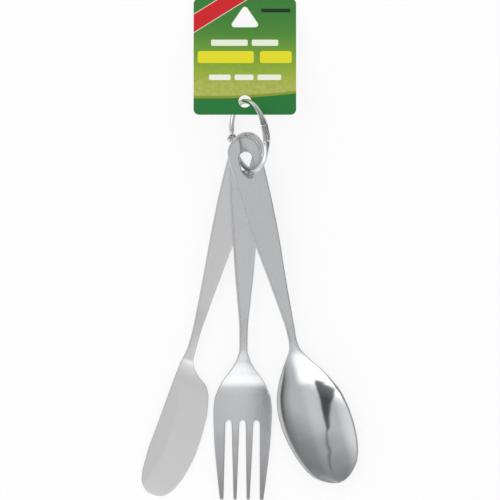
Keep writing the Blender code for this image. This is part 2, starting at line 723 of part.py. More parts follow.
# Put everything under one empty that brings the middle of the footprint to the origin.
pieces = (knife, fork, spoon, ring_lower, ring_upper, hinge_rivet, hang_card)
bpy.context.view_layer.update()
graph = bpy.context.evaluated_depsgraph_get()
spots = []
for piece in pieces:
    shape = piece.evaluated_get(graph)
    spots += [shape.matrix_world @ v.co for v in shape.data.vertices]
middle = [0.5 * (min(p[k] for p in spots) + max(p[k] for p in spots)) for k in range(2)]
frame = bpy.data.objects.new("set_frame", None)
bpy.context.scene.collection.objects.link(frame)
for piece in pieces:
    piece.parent = frame
frame.location = (-middle[0], -middle[1], 0.0)
bpy.context.view_layer.update()

for piece in pieces:
    spot = piece.matrix_world.translation / MM
    axis = piece.matrix_world.to_3x3() @ Vector((0.0, 0.0, 1.0))
    print(piece.name, "at", [round(c, 4) for c in spot], "normal", [round(c, 6) for c in axis])
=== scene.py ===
# %% [markdown]
# # A travel cutlery set on its snap ring
# A steel knife, fork and spoon hang fanned out from a hinged ring, together with a printed card.
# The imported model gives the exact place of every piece. This lesson builds each piece again with
# far more detail, gives it its finish, and lets it ride on the body that it belongs to.

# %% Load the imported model
import math
from functools import partial

import bmesh
import bpy
import numpy as np
from mathutils import Matrix, Vector
from mathutils.geometry import delaunay_2d_cdt


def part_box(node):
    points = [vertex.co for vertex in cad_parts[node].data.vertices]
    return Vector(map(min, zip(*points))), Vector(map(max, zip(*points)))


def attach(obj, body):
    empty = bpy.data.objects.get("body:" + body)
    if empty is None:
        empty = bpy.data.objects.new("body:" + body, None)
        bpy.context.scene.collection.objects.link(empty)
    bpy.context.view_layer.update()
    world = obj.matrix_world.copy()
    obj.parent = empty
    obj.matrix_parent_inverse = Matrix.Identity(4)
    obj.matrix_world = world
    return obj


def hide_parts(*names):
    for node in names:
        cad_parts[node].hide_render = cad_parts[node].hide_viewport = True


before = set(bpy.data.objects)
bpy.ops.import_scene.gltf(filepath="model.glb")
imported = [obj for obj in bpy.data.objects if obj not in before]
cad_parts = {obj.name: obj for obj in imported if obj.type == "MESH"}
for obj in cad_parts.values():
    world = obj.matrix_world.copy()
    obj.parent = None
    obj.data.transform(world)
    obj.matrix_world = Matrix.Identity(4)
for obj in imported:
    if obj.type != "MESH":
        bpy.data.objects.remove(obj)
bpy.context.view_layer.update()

# %% [markdown]
# ## Sizes
# The lengths are in millimetres, as a maker would write them, and each piece is scaled to metres
# when its mesh is made. Each piece of flatware has a place: the point where the ring's wire
# crosses it, how far it is fanned out, and the small slope at which its head rests on the table.

# %% Sizes and places
MM = 0.001
HALF_W = 8.2                # half the width of a handle
END_R = 8.4
PLATE = 1.8
PLATE_TOP = 1.1
PLATE_BOTTOM = PLATE_TOP - PLATE
HOLE_W, HOLE_L, HOLE_S = 6.6, 11.6, 13.5
PIVOT_S = 16.4
PLACES = {
    "knife": ((-3.3326, 41.6045, 8.2), -15.5, 2.3864),
    "fork": ((-1.9238, 40.2144, 10.35), -0.7, 2.4977),
    "spoon": ((-0.5873, 39.3381, 12.5), 14.8, 2.5088),
}


def placed(name):
    """Matrix that carries a piece from its own millimetres to its place in metres."""
    spot, fan, slope = PLACES[name]
    turn = Matrix.Rotation(math.radians(fan), 4, "Z") @ Matrix.Rotation(math.radians(slope), 4, "X")
    return Matrix.Translation(Vector(spot) * MM) @ turn @ Matrix.Scale(MM, 4)


def put(name, data):
    """New object in the scene, at the origin."""
    obj = bpy.data.objects.new(name, data)
    bpy.context.scene.collection.objects.link(obj)
    return obj


# %% [markdown]
# ## Curves from rows
# A piece of flatware is known by a few measured rows: so wide here, so high there. A monotone
# cubic through the rows gives a smooth line that never overshoots. It is sampled once, so that
# thousands of points can be looked up quickly.

# %% A smooth curve as a lookup
def curve(rows, unit):
    """Monotone smooth curve through (share, value) rows, as a function of arrays."""
    xs = np.array([r[0] for r in rows], float)
    ys = np.array([r[1] for r in rows], float) * unit
    gaps = np.diff(xs)
    rises = np.diff(ys) / gaps
    slopes = [rises[0]]
    for a, b in zip(rises, rises[1:]):
        slopes.append(0.0 if a * b <= 0.0 else 2.0 * a * b / (a + b))
    slopes = np.array(slopes + [rises[-1]])
    at = np.linspace(xs[0], xs[-1], 3000)
    k = np.clip(np.searchsorted(xs, at, side="right") - 1, 0, len(gaps) - 1)
    u = (at - xs[k]) / gaps[k]
    values = ((1 + 2 * u) * (1 - u) ** 2 * ys[k] + u * (1 - u) ** 2 * gaps[k] * slopes[k]
              + u * u * (3 - 2 * u) * ys[k + 1] - u * u * (1 - u) * gaps[k] * slopes[k + 1])
    return lambda x: np.interp(x, at, values)


SPOON_HALF = curve((
    (0.0475, 1), (0.1599, 0.939), (0.2932, 0.774), (0.4045, 0.537), (0.4932, 0.372),
    (0.548, 0.28), (0.5819, 0.256), (0.6056, 0.317), (0.6277, 0.561), (0.6503, 0.878),
    (0.6723, 1.195), (0.6949, 1.463), (0.7175, 1.695), (0.739, 1.866), (0.761, 1.988),
    (0.7836, 2.061), (0.8164, 2.104), (0.8503, 2.073), (0.8944, 1.939), (0.9169, 1.817),
    (0.939, 1.646), (0.961, 1.402)), HALF_W)
SPOON_LINE = curve(((0.5424, 0), (0.6045, -0.073), (0.661, -0.14), (0.7232, -0.104),
                    (0.791, 0.024), (0.8757, 0.232), (1, 0.561)), HALF_W)
SPOON_RIM = curve(((0.5367, 0.611), (0.5932, 0.694), (0.6554, 0.167), (0.7345, -0.611),
                   (0.8136, -0.889), (0.9096, -0.611), (1, 0)), PLATE)
SPOON_DEPTH = curve(((0.5876, 0), (0.6215, 0.278), (0.661, 1.056), (0.7175, 1.889),
                     (0.791, 2.278), (0.8475, 2.222), (0.9096, 1.722), (0.9605, 1),
                     (1, 0.167)), PLATE)
SPOON_THICK = curve(((0.4972, 1), (0.5706, 1.278), (0.6271, 1), (0.6949, 0.694),
                     (1, 0.611)), PLATE)
FORK_HALF = curve((
    (0.0466, 1), (0.157, 0.939), (0.3191, 0.665), (0.3857, 0.555), (0.4528, 0.415),
    (0.5327, 0.268), (0.5888, 0.256), (0.616, 0.415), (0.6382, 0.671), (0.6598, 1.012),
    (0.6815, 1.329), (0.7037, 1.549), (0.7253, 1.695), (0.7603, 1.756), (0.8352, 1.695),
    (0.9223, 1.512), (0.9928, 1.329)), HALF_W)
FORK_MID = curve(((0.505, 0.111), (0.5716, 0.194), (0.621, -0.25), (0.6550, -0.82),
                  (0.6937, -1.56), (0.712, -1.69), (0.7603, -1.74), (0.8047, -1.75),
                  (0.8602, -1.444), (0.9323, -0.611), (1, 0.778)), PLATE)
FORK_CUP = curve(((0.5882, 0), (0.6715, 0.333), (0.7603, 0.5), (0.8713, 0.333),
                  (1, 0.111)), PLATE)
FORK_THICK = curve(((0.4939, 1), (0.5716, 1.278), (0.6382, 1.056), (0.7714, 0.889),
                    (1, 0.611)), PLATE)
KNIFE_SPINE = curve((
    (0.0453, -1), (0.1526, -0.951), (0.2755, -0.78), (0.3817, -0.561), (0.4879, -0.366),
    (0.5606, -0.274), (0.593, -0.28), (0.6388, -0.451), (0.7024, -0.598), (0.8086, -0.78),
    (0.8933, -0.927), (0.9358, -0.927), (0.9596, -0.841)), HALF_W)
KNIFE_EDGE = curve((
    (0.0453, 1), (0.1526, 0.951), (0.2755, 0.78), (0.3817, 0.561), (0.4879, 0.366),
    (0.5606, 0.274), (0.6178, 0.28), (0.6388, 0.415), (0.6604, 0.841), (0.6814, 1.439),
    (0.7024, 1.707), (0.724, 1.829), (0.766, 1.963), (0.8086, 1.976), (0.8512, 1.939),
    (0.8933, 1.799), (0.9358, 1.537), (0.9596, 1.317)), HALF_W)
KNIFE_THICK = curve(((0.4852, 1), (0.5606, 1.333), (0.6146, 1.111), (0.6685, 0.722),
                     (1, 0.611)), PLATE)
KNIFE_DROP = curve(((0.5606, 0), (0.6361, 0.278)), PLATE)
KNIFE_GRIND = curve(((0.6253, 0), (0.6792, 1)), 1.0)
SPOON_L, FORK_L, KNIFE_L = 177.0, 180.2, 185.5

# %% [markdown]
# ## A plate with a rolled edge
# Each piece is stamped from sheet: an outline, two faces that follow a height, and an edge that
# is rolled over by polishing. So the mesh is made as the real piece is. Rings of points step in
# from the outline and from the hole along a quarter circle, a grid fills the middle, and a
# constrained Delaunay triangulation joins them. The hole and the gaps between tines then get the
# same soft edge as the outside, with no Boolean scars in the reflections.

# %% Outline tools
def resample(points, step):
    """The closed outline again, with points one even step apart."""
    pts = np.array(points, float)
    ring = np.vstack([pts, pts[:1]])
    run = np.concatenate([[0.0], np.cumsum(np.hypot(*np.diff(ring, axis=0).T))])
    at = np.linspace(0.0, run[-1], max(12, int(run[-1] / step)), endpoint=False)
    return np.column_stack([np.interp(at, run, ring[:, k]) for k in range(2)])


def signed_area(pts):
    """Area of a closed loop, positive if it runs anticlockwise."""
    nxt = np.roll(pts, -1, axis=0)
    return 0.5 * float(np.sum(pts[:, 0] * nxt[:, 1] - nxt[:, 0] * pts[:, 1]))


def inwards(pts, solid_inside):
    """Unit vectors that point from an outline into the metal."""
    along = np.roll(pts, -1, axis=0) - np.roll(pts, 1, axis=0)
    side = np.column_stack([-along[:, 1], along[:, 0]])
    side /= np.maximum(np.hypot(*side.T), 1e-9)[:, None]
    return side if (signed_area(pts) > 0.0) == solid_inside else -side


def inside(pts, loop):
    """Which points lie inside a closed loop."""
    hit = np.zeros(len(pts), bool)
    for (x0, y0), (x1, y1) in zip(loop, np.roll(loop, -1, axis=0)):
        if y0 == y1:
            continue
        cross = (y0 > pts[:, 1]) != (y1 > pts[:, 1])
        hit ^= cross & (pts[:, 0] < x0 + (pts[:, 1] - y0) * (x1 - x0) / (y1 - y0))
    return hit


AT_ONCE = 2000              # points compared in one go, to save memory


def distance(pts, loops):
    """Distance from each point to the nearest outline point."""
    marks = np.vstack(loops)
    out = np.empty(len(pts))
    for k in range(0, len(pts), AT_ONCE):
        gap = pts[k:k + AT_ONCE, None] - marks[None]
        out[k:k + AT_ONCE] = np.sqrt((gap ** 2).sum(axis=2).min(axis=1))
    return out


# %% The plate maker
EDGE_STEPS = 7              # points on the quarter circle of a rolled edge
CLEAR = 0.4                 # gap between the edge and the inner grid, as a share of its step
MAP_SCALE = 0.01            # the map "plan" counts in tenths of a metre


def no_dish_shade(x, s):
    """Painted dish shade for a plate that has none: zero everywhere."""
    return np.zeros(len(x))


def rolled_plate(name, outline, holes, height, edge, matrix, grids, dish_shade_at=no_dish_shade):
    """Mesh of a plate. height(x, s) gives its two faces, edge(x, s) the radius of its rolled edge,
    grids the inner spacing as (from s, to s, step), and dish_shade_at how much painted shade
    the upper face gets, kept in its pressed attribute."""
    loops = [outline] + holes
    points, rolls, chains = [], [], []
    for loop in loops:
        turn = inwards(loop, loop is outline)
        reach = edge(loop[:, 0], loop[:, 1])
        for k in range(EDGE_STEPS):
            a = 0.5 * math.pi * k / (EDGE_STEPS - 1)
            first = sum(len(p) for p in points)
            points.append(loop + turn * (reach * (1.0 - math.cos(a)))[:, None])
            rolls.append(np.full(len(loop), math.sin(a)))
            chains.append([(first + i, first + (i + 1) % len(loop)) for i in range(len(loop))])
    for s0, s1, step in grids:
        xs = np.arange(outline[:, 0].min(), outline[:, 0].max(), step)
        ss = np.arange(s0, s1, step)
        grid = np.array([(x + 0.5 * step * (j % 2), s) for j, s in enumerate(ss) for x in xs])
        grid = grid[inside(grid, outline)]
        for hole in holes:
            grid = grid[~inside(grid, hole)]
        room = edge(grid[:, 0], grid[:, 1]) + CLEAR * step
        grid = grid[distance(grid, loops) > room]
        points.append(grid)
        rolls.append(np.ones(len(grid)))
    flat = np.vstack(points)
    roll = np.concatenate(rolls)
    lines = [pair for chain in chains for pair in chain]
    made = delaunay_2d_cdt([Vector(p) for p in flat], lines, [], 0, 1e-7)
    source = [group[0] if group else 0 for group in made[3]]
    spots = np.array([[v.x, v.y] for v in made[0]])
    roll = roll[source]
    tris = np.array([f for f in made[2] if len(f) == 3])
    middle = spots[tris].mean(axis=1)
    keep = inside(middle, outline)
    for hole in holes:
        keep &= ~inside(middle, hole)
    tris = tris[keep]
    first, second, third = (spots[tris[:, k]] for k in range(3))
    ab, ac = second - first, third - first
    wrong = ab[:, 0] * ac[:, 1] - ab[:, 1] * ac[:, 0] > 0.0
    tris[wrong] = tris[wrong][:, ::-1]
    top, bottom = height(spots[:, 0], spots[:, 1])
    mid, half = 0.5 * (top + bottom), 0.5 * (top - bottom)
    rim = roll < 1e-9
    count = len(spots)
    lower = np.where(rim, np.arange(count), np.arange(count) + count)
    upper_co = np.column_stack([spots[:, 0], PIVOT_S - spots[:, 1], mid + half * roll])
    lower_co = np.column_stack([spots[:, 0], PIVOT_S - spots[:, 1], mid - half * roll])
    faces = np.vstack([tris, lower[tris][:, ::-1]])
    used = np.unique(faces)
    order = np.full(2 * count, -1)
    order[used] = np.arange(len(used))
    co = np.vstack([upper_co, lower_co])[used]
    plan = np.vstack([spots, spots])[used]
    mesh = bpy.data.meshes.new(name)
    mesh.from_pydata([matrix @ Vector(p) for p in co], [], order[faces].tolist())
    uv = mesh.uv_layers.new(name="plan")
    corner = np.empty(len(mesh.loops), int)
    mesh.loops.foreach_get("vertex_index", corner)
    uv.data.foreach_set("uv", (plan[corner] * MAP_SCALE).ravel())
    side = mesh.attributes.new("rim", "FLOAT", "POINT")
    curl = 1.0 - np.concatenate([roll, roll])[used]
    side.data.foreach_set("value", curl.astype(np.float32))
    # Painted shade: the dish mask is stored per point, and the metal's base colour is darkened by
    # it.
    pressed = mesh.attributes.new("pressed", "FLOAT", "POINT")
    down = np.concatenate([dish_shade_at(spots[:, 0], spots[:, 1]), np.zeros(count)])
    pressed.data.foreach_set("value", down[used].astype(np.float32))
    mesh.polygons.foreach_set("use_smooth", [True] * len(mesh.polygons))
    mesh.update()
    print(name, "triangles", len(mesh.polygons), "top faces", len(tris))
    return put(name, mesh), len(tris)


# %% [markdown]
# ## The shared handle end
# All three handles end in the same rounded shape with a slotted hole. Round the hole the metal
# is pressed down in a tear-shaped dish, which narrows to a shallow groove that runs out over the
# end. The dish is part of the height of the upper face, so its slope is smooth.

# %% Handle end, hole and dish
DISH_HALF, DISH_REACH, DISH_DEEP = 3.95, 7.4, 0.55
GROOVE_HALF, GROOVE_DEEP, GROOVE_RUN = 1.1, 0.32, 9.0
FLARE_MORE, FLARE_FROM, FLARE_RUN = 2.2, 3.0, 6.0   # the groove widens towards the dish
END_LEFT, END_RUN = 0.45, 1.2                       # thickness left at a tip, and over what length
HOLE_NEAR, HOLE_EDGE = 7.0, 0.35                    # the hole's rim is rolled less
ROLL_HANDLE, ROLL_LESS, ROLL_FROM, ROLL_RUN = 0.7, 0.25, 95.0, 25.0
FINE_TO, FINE, COARSE = 24.0, 0.35, 0.9             # inner grid round the hole and on the handle


def handle_half(s, length, rows):
    """Half-width of a piece, with the round end of its handle."""
    full = np.abs(rows(np.maximum(s, END_R) / length))
    return full * np.sqrt(np.clip(1.0 - ((END_R - np.minimum(s, END_R)) / END_R) ** 2, 0.0, 1.0))


def dish(x, s):
    """How far the upper face is pressed down near the hole."""
    v = (s - HOLE_S) / DISH_REACH
    half = DISH_HALF * np.sqrt(np.clip(1.0 - v * v, 0.0, 1.0))
    flare = GROOVE_HALF + FLARE_MORE * np.clip((s - FLARE_FROM) / FLARE_RUN, 0.0, 1.0) ** 2
    half = np.where(s < HOLE_S, np.maximum(half, flare), half)
    deeper = GROOVE_DEEP + (DISH_DEEP - GROOVE_DEEP) * np.clip(s / GROOVE_RUN, 0.0, 1.0)
    deep = np.where(s < HOLE_S, deeper, DISH_DEEP)
    across = np.clip(np.abs(x) / np.maximum(half, 1e-3), 0.0, 1.0)
    return deep * (1.0 - across ** 2) ** 1.5 * (half > 0.05)


def dish_shade_mask(x, s):
    """Mask of the painted shade in the dish and groove round the hole, from 0 to 1."""
    return np.clip(dish(x, s) / GROOVE_DEEP, 0.0, 1.0)


def end_ease(s, length):
    """Fraction of the thickness left where a piece thins towards its two ends."""
    lost = 1.0 - np.clip(np.minimum(s, length - s) / END_RUN, 0.0, 1.0)
    return END_LEFT + (1.0 - END_LEFT) * np.sqrt(1.0 - lost ** 2)


def handle_edge(x, s):
    """Rolled edge: small at the hole, wide on a handle, narrower round a head."""
    wide = ROLL_HANDLE - ROLL_LESS * np.clip((s - ROLL_FROM) / ROLL_RUN, 0.0, 1.0)
    return np.where(np.hypot(x, s - HOLE_S) < HOLE_NEAR, HOLE_EDGE, wide)


def spacing(head, end, step):
    """Inner grids of a piece whose head starts at one place and ends at another."""
    return (0.0, FINE_TO, FINE), (FINE_TO, head, COARSE), (head, end, step)


def slotted_hole(step):
    """Outline of the hole in a handle."""
    r = 0.5 * HOLE_W
    shift = 0.5 * HOLE_L - r
    pts = []
    for k in range(96):
        a = 2.0 * math.pi * (k + 0.5) / 96
        pts.append((r * math.cos(a), HOLE_S + r * math.sin(a) + math.copysign(shift, math.sin(a))))
    return resample(pts, step)


def long_stations(length, close):
    """Places along a piece, crowded towards its two round ends."""
    near = END_R * (1.0 - np.cos(np.linspace(0.0, 0.5 * math.pi, 40)))
    far = length * (close + (1.0 - close) * np.sin(np.linspace(0.0, 0.5 * math.pi, 60)))
    return np.concatenate([near[:-1], np.linspace(END_R, close * length, 300)[:-1], far])


# %% [markdown]
# ## The spoon
# The bowl is an egg-shaped hollow that leans a little outwards from the handle, with a narrow
# flat rim round it. Its upper face is a power curve across, which makes a nearly flat floor with
# walls that rise quickly, as a drawn bowl has.

# %% Spoon shape
SPOON_CLOSE = 0.961
RIM_LEFT, RIM_RIGHT = 1.5, 0.5      # width of the flat rim on the bowl's two sides
RIM_FROM, RIM_RUN = 0.64, 0.04      # shares of the length over which it appears
BOWL_POWER, LEAST = 2.3, 0.05


def spoon_half(s):
    """Half the width of the spoon."""
    tip = SPOON_HALF(1.0) * np.sqrt(np.clip((1.0 - s / SPOON_L) / (1.0 - SPOON_CLOSE), 0.0, 1.0))
    return np.where(s > SPOON_CLOSE * SPOON_L, tip, handle_half(s, SPOON_L, SPOON_HALF))


def spoon_lean(s):
    """Slope of the spoon's middle line."""
    share = s / SPOON_L
    return (SPOON_LINE(share + 0.001) - SPOON_LINE(share - 0.001)) / (0.002 * SPOON_L)


def spoon_height(x, s):
    """Upper and lower face of the spoon."""
    local = x - SPOON_LINE(s / SPOON_L)
    along = s + spoon_lean(s) * local
    share = along / SPOON_L
    half = np.maximum(spoon_half(along), LEAST)
    flat = np.where(local < 0.0, RIM_LEFT, RIM_RIGHT)
    flat = flat * np.clip((share - RIM_FROM) / RIM_RUN, 0.0, 1.0)
    across = np.clip(np.abs(local) / np.maximum(half - flat, LEAST), 0.0, 1.0)
    rim = SPOON_RIM(share)
    top = rim - SPOON_DEPTH(share) * (1.0 - across ** BOWL_POWER) - dish(x, s)
    bottom_across = np.clip(np.abs(local) / half, 0.0, 1.0)
    bottom = rim - SPOON_DEPTH(share) * (1.0 - bottom_across ** BOWL_POWER) - SPOON_THICK(share)
    mid, ease = 0.5 * (top + bottom), end_ease(along, SPOON_L)
    return mid + ease * (top - mid), mid - ease * (mid - bottom)


run = long_stations(SPOON_L, SPOON_CLOSE)
left = [(SPOON_LINE(s / SPOON_L) - spoon_half(s), s + spoon_lean(s) * spoon_half(s)) for s in run]
right = [(SPOON_LINE(s / SPOON_L) + spoon_half(s), s - spoon_lean(s) * spoon_half(s)) for s in run]
spoon = rolled_plate("spoon_polished", resample(right + left[::-1], 0.45), [slotted_hole(FINE)],
                     spoon_height, handle_edge, placed("spoon"), spacing(104.0, 177.0, 0.55),
                     dish_shade_mask)[0]

# %% [markdown]
# ## The fork
# The fork is one plate with three slots. Each slot has a round root and widens towards the tips,
# so the four tines taper. The palm is cupped across and swept down and up again along its length.

# %% Fork shape
SLOT_L, SLOT_ROOT_W, SLOT_TIP_W = 38.9, 3.0, 4.75
SLOTS = ((6.9, 6.45), (0.0, 0.0), (-6.9, -6.45))
TIP_R = 0.84
FORK_CLOSE = 0.9928


def fork_half(s):
    """Half the width of the fork, with rounded tips."""
    full = handle_half(s, FORK_L, FORK_HALF)
    left = np.clip((1.0 - s / FORK_L) / (1.0 - FORK_CLOSE), 0.0, 1.0)
    return full - TIP_R * (1.0 - np.sqrt(1.0 - (1.0 - left) ** 2))


def fork_height(x, s):
    """Upper and lower face of the fork."""
    share = s / FORK_L
    across = np.clip(1.0 - (x / np.maximum(fork_half(s), LEAST)) ** 2, 0.0, 1.0)
    mid = FORK_MID(share) - FORK_CUP(share) * across
    half = 0.5 * FORK_THICK(share) * end_ease(s, FORK_L)
    return mid + half - dish(x, s), mid - half


def slot_side(root_x, tip_x):
    """One gap between two tines, from its right tip round the root to its left tip."""
    r = 0.5 * SLOT_ROOT_W
    root = FORK_L - SLOT_L + r
    half = 0.5 * SLOT_TIP_W
    corner = [(half + TIP_R * (1.0 - math.sin(a)), FORK_L - TIP_R * (1.0 - math.cos(a)))
              for a in np.linspace(0.0, 0.5 * math.pi, 9)]
    round_root = [(root_x + r * math.cos(a), root - r * math.sin(a))
                  for a in np.linspace(0.0, math.pi, 25)]
    right = [(tip_x + out, s) for out, s in corner]
    left = [(tip_x - out, s) for out, s in reversed(corner)]
    return right + round_root + left


run = long_stations(FORK_L, FORK_CLOSE)
outline = [(float(fork_half(s)), s) for s in run]
for root_x, tip_x in SLOTS:
    outline += slot_side(root_x, tip_x)
outline += [(-float(fork_half(s)), s) for s in run[::-1]]
fork = rolled_plate("fork_polished", resample(outline, 0.32), [slotted_hole(FINE)], fork_height,
                    handle_edge, placed("fork"), spacing(100.0, 181.0, 0.5), dish_shade_mask)[0]

# %% [markdown]
# ## The knife
# The knife is a spreader: a broad leaf of a blade with one long straight side and one that
# swells out. The swelling side is ground thin over the last few millimetres.

# %% Knife shape
KNIFE_CLOSE, KNIFE_EDGE_T, KNIFE_BEVEL = 0.9596, 0.35, 15.0
BLUNT_EDGE, BLUNT_SPINE = 1.15, 1.6     # how square the nose is on either side
BLADE_FROM, BLADE_LESS = 116.0, 0.15    # the blade's edge is rolled less than the handle's


def knife_side(rows, s):
    """One side of the knife's outline, the cutting edge or the spine."""
    sign = 1.0 if rows is KNIFE_EDGE else -1.0
    side = np.where(s < END_R, sign * handle_half(s, KNIFE_L, rows), rows(s / KNIFE_L))
    nose = 0.5 * (KNIFE_SPINE(1.0) + KNIFE_EDGE(1.0))
    u = np.clip((s / KNIFE_L - KNIFE_CLOSE) / (1.0 - KNIFE_CLOSE), 0.0, 1.0)
    blunt = BLUNT_EDGE if rows is KNIFE_EDGE else BLUNT_SPINE
    tip = nose + (rows(1.0) - nose) * np.sqrt(np.clip(1.0 - u ** blunt, 0.0, 1.0))
    return np.where(s / KNIFE_L > KNIFE_CLOSE, tip, side)


def knife_height(x, s):
    """Upper and lower face of the knife."""
    share = s / KNIFE_L
    full = KNIFE_THICK(share)
    reach = np.clip((knife_side(KNIFE_EDGE, s) - x) / KNIFE_BEVEL, 0.0, 1.0)
    ground = KNIFE_EDGE_T + (full - KNIFE_EDGE_T) * reach
    bottom = PLATE_BOTTOM - KNIFE_DROP(share)
    top = bottom + full + KNIFE_GRIND(share) * (ground - full) - dish(x, s)
    mid, ease = 0.5 * (top + bottom), end_ease(s, KNIFE_L)
    return mid + ease * (top - mid), mid - ease * (mid - bottom)


run = long_stations(KNIFE_L, KNIFE_CLOSE)
outline = [(float(knife_side(KNIFE_EDGE, s)), s) for s in run]
outline += [(float(knife_side(KNIFE_SPINE, s)), s) for s in run[::-1]]
knife = rolled_plate("knife_satin", resample(outline, 0.45), [slotted_hole(FINE)], knife_height,
                     lambda x, s: handle_edge(x, s) - BLADE_LESS * (s > BLADE_FROM),
                     placed("knife"), spacing(112.0, 186.0, 0.6), dish_shade_mask)[0]

# %% [markdown]
# ## The snap ring
# The ring is two half rings of wire, joined by a riveted hinge, that snap together side by side.
# The wire follows a rule, so Geometry Nodes draw it: a capped cylinder is bent round the ring,
# swells towards the snap, and is pressed to one side of an S-shaped line there. The same tree
# makes both halves from other inputs.

# %% Node helpers
def socket(tree, name, kind, way="INPUT", value=None):
    """Give a node group a named socket."""
    made = tree.interface.new_socket(name=name, in_out=way, socket_type=kind)
    if value is not None:
        made.default_value = value


def feed(tree, port, item):
    """Link an output to a node's input, or set the input to a plain value."""
    if isinstance(item, bpy.types.NodeSocket):
        tree.links.new(item, port)
    else:
        port.default_value = item


def add(tree, kind, *firsts, **named):
    """New node with its inputs fed, in order or by name with underscores for spaces."""
    node = tree.nodes.new(kind)
    for k, item in enumerate(firsts):
        feed(tree, node.inputs[k], item)
    for key, item in named.items():
        feed(tree, node.inputs[key.replace("_", " ")], item)
    return node


def math_node(tree, operation, *values):
    """A Math node fed by links or plain numbers; returns its output."""
    node = tree.nodes.new("ShaderNodeMath")
    node.operation = operation
    for k, value in enumerate(values):
        feed(tree, node.inputs[k], value)
    return node.outputs[0]


def map_range(tree, value, low, high, to_low, to_high, smooth=True):
    """Carry a value from one range to another, eased or straight."""
    node = tree.nodes.new("ShaderNodeMapRange")
    node.interpolation_type = "SMOOTHSTEP" if smooth else "LINEAR"
    for key, item in (("Value", value), ("From Min", low), ("From Max", high),
                      ("To Min", to_low), ("To Max", to_high)):
        feed(tree, node.inputs[key], item)
    return node.outputs[0]


# %% Geometry Nodes: half a snap ring
WIRE_SIDES, WIRE_STEPS = 36, 240
SNAP_TURN, LAP_EASE = 90.0, 0.35        # in degrees, as all turns round the ring
SLIM_FROM, SLIM_TO = -86.0, -76.0       # where a half slims down to the hinge's tongue
HALF_INPUTS = (("Ring Radius", 17.1), ("Wire Radius", 1.2), ("Snap Half Width", 1.95),
               ("Snap Half Depth", 0.95), ("Lap", 13.5), ("Swell", 22.0), ("First Turn", 78.0),
               ("Last Turn", 270.0), ("Side", -1.0), ("Snap Air", 0.3), ("S Height", 0.62),
               ("Slim Half Width", 1.2))

def half_ring_tree(finish):
    """Tree that bends a capped rod to half a ring."""
    tree = bpy.data.node_groups.new("half_ring", "GeometryNodeTree")
    calc = partial(math_node, tree)
    for name, value in HALF_INPUTS:
        socket(tree, name, "NodeSocketFloat", value=value)
    socket(tree, "Geometry", "NodeSocketGeometry", "OUTPUT")
    given = tree.nodes.new("NodeGroupInput").outputs
    rod = add(tree, "GeometryNodeMeshCylinder", Vertices=WIRE_SIDES, Side_Segments=WIRE_STEPS,
              Radius=1.0, Depth=1.0)
    rod.fill_type = "NGON"
    spot = tree.nodes.new("GeometryNodeInputPosition").outputs[0]
    outward, sideways, along = add(tree, "ShaderNodeSeparateXYZ", spot).outputs
    turn = map_range(tree, along, -0.5, 0.5, given["First Turn"], given["Last Turn"], False)
    past = calc("SUBTRACT", turn, SNAP_TURN)
    away = calc("ABSOLUTE", past)
    swell_end = calc("ADD", given["Lap"], given["Swell"])
    near = map_range(tree, away, given["Lap"], swell_end, 1.0, 0.0)
    slim = map_range(tree, turn, SLIM_FROM, SLIM_TO, given["Slim Half Width"], given["Wire Radius"])
    grow = calc("SUBTRACT", given["Snap Half Width"], given["Wire Radius"])
    broad = calc("MULTIPLY_ADD", grow, near, slim)
    sink = calc("SUBTRACT", given["Snap Half Depth"], given["Wire Radius"])
    deep = calc("MULTIPLY_ADD", sink, near, given["Wire Radius"])
    # In the lap the whole section is pressed to one side of the S line, with air between.
    wave = calc("SINE", calc("DIVIDE", calc("MULTIPLY", past, math.pi), given["Lap"]))
    wave = calc("MULTIPLY", calc("MULTIPLY", wave, given["S Height"]), given["Side"])
    line = calc("MULTIPLY_ADD", given["Snap Air"], 0.5, wave)
    lapped = map_range(tree, away, calc("SUBTRACT", given["Lap"], LAP_EASE),
                       calc("ADD", given["Lap"], LAP_EASE), 1.0, 0.0)
    low = calc("SUBTRACT", calc("MULTIPLY", lapped, calc("ADD", line, broad)), broad)
    share = calc("MULTIPLY_ADD", sideways, given["Side"], 1.0)
    room = calc("MULTIPLY", calc("SUBTRACT", broad, low), 0.5)
    across = calc("MULTIPLY", calc("MULTIPLY_ADD", share, room, low), given["Side"])
    bend = calc("RADIANS", turn)
    radius = calc("MULTIPLY_ADD", outward, deep, given["Ring Radius"])
    place = add(tree, "ShaderNodeCombineXYZ", calc("MULTIPLY", radius, calc("COSINE", bend)),
                calc("MULTIPLY", radius, calc("SINE", bend)), across)
    move = add(tree, "GeometryNodeSetPosition", Geometry=rod.outputs["Mesh"],
               Position=place.outputs[0])
    real = add(tree, "GeometryNodeRealizeInstances", move.outputs[0])
    paint = add(tree, "GeometryNodeSetMaterial", Geometry=real.outputs[0], Material=finish)
    add(tree, "NodeGroupOutput", paint.outputs[0])
    return tree


def grown(name, tree, values):
    """Run a Geometry Nodes tree with these inputs and return the mesh that it makes."""
    host = put(name + "_host", bpy.data.meshes.new(name + "_host"))
    mod = host.modifiers.new(name, "NODES")
    mod.node_group = tree
    for item in tree.interface.items_tree:
        if item.in_out == "INPUT":
            mod[item.identifier] = values.get(item.name, item.default_value)
    graph = bpy.context.evaluated_depsgraph_get()
    mesh = bpy.data.meshes.new_from_object(host.evaluated_get(graph))
    bm = bmesh.new()
    bm.from_mesh(mesh)
    bmesh.ops.recalc_face_normals(bm, faces=bm.faces[:])
    bm.to_mesh(mesh)
    bm.free()
    co = np.array([v.co for v in mesh.vertices])
    print(name, "from", np.round(co.min(0), 2), "to", np.round(co.max(0), 2),
          "faces", len(mesh.polygons))
    host.modifiers.remove(mod)
    bpy.data.objects.remove(host, do_unlink=True)
    return mesh


# %% [markdown]
# ## Finishes of metal
# Stamped steel shows fine polishing lines along the piece, a soft cloudiness and tiny scratches.
# One shader group makes all three as a roughness and a height, with inputs for how strong each
# is. The Principled shader stays in each material and takes the group's outputs.

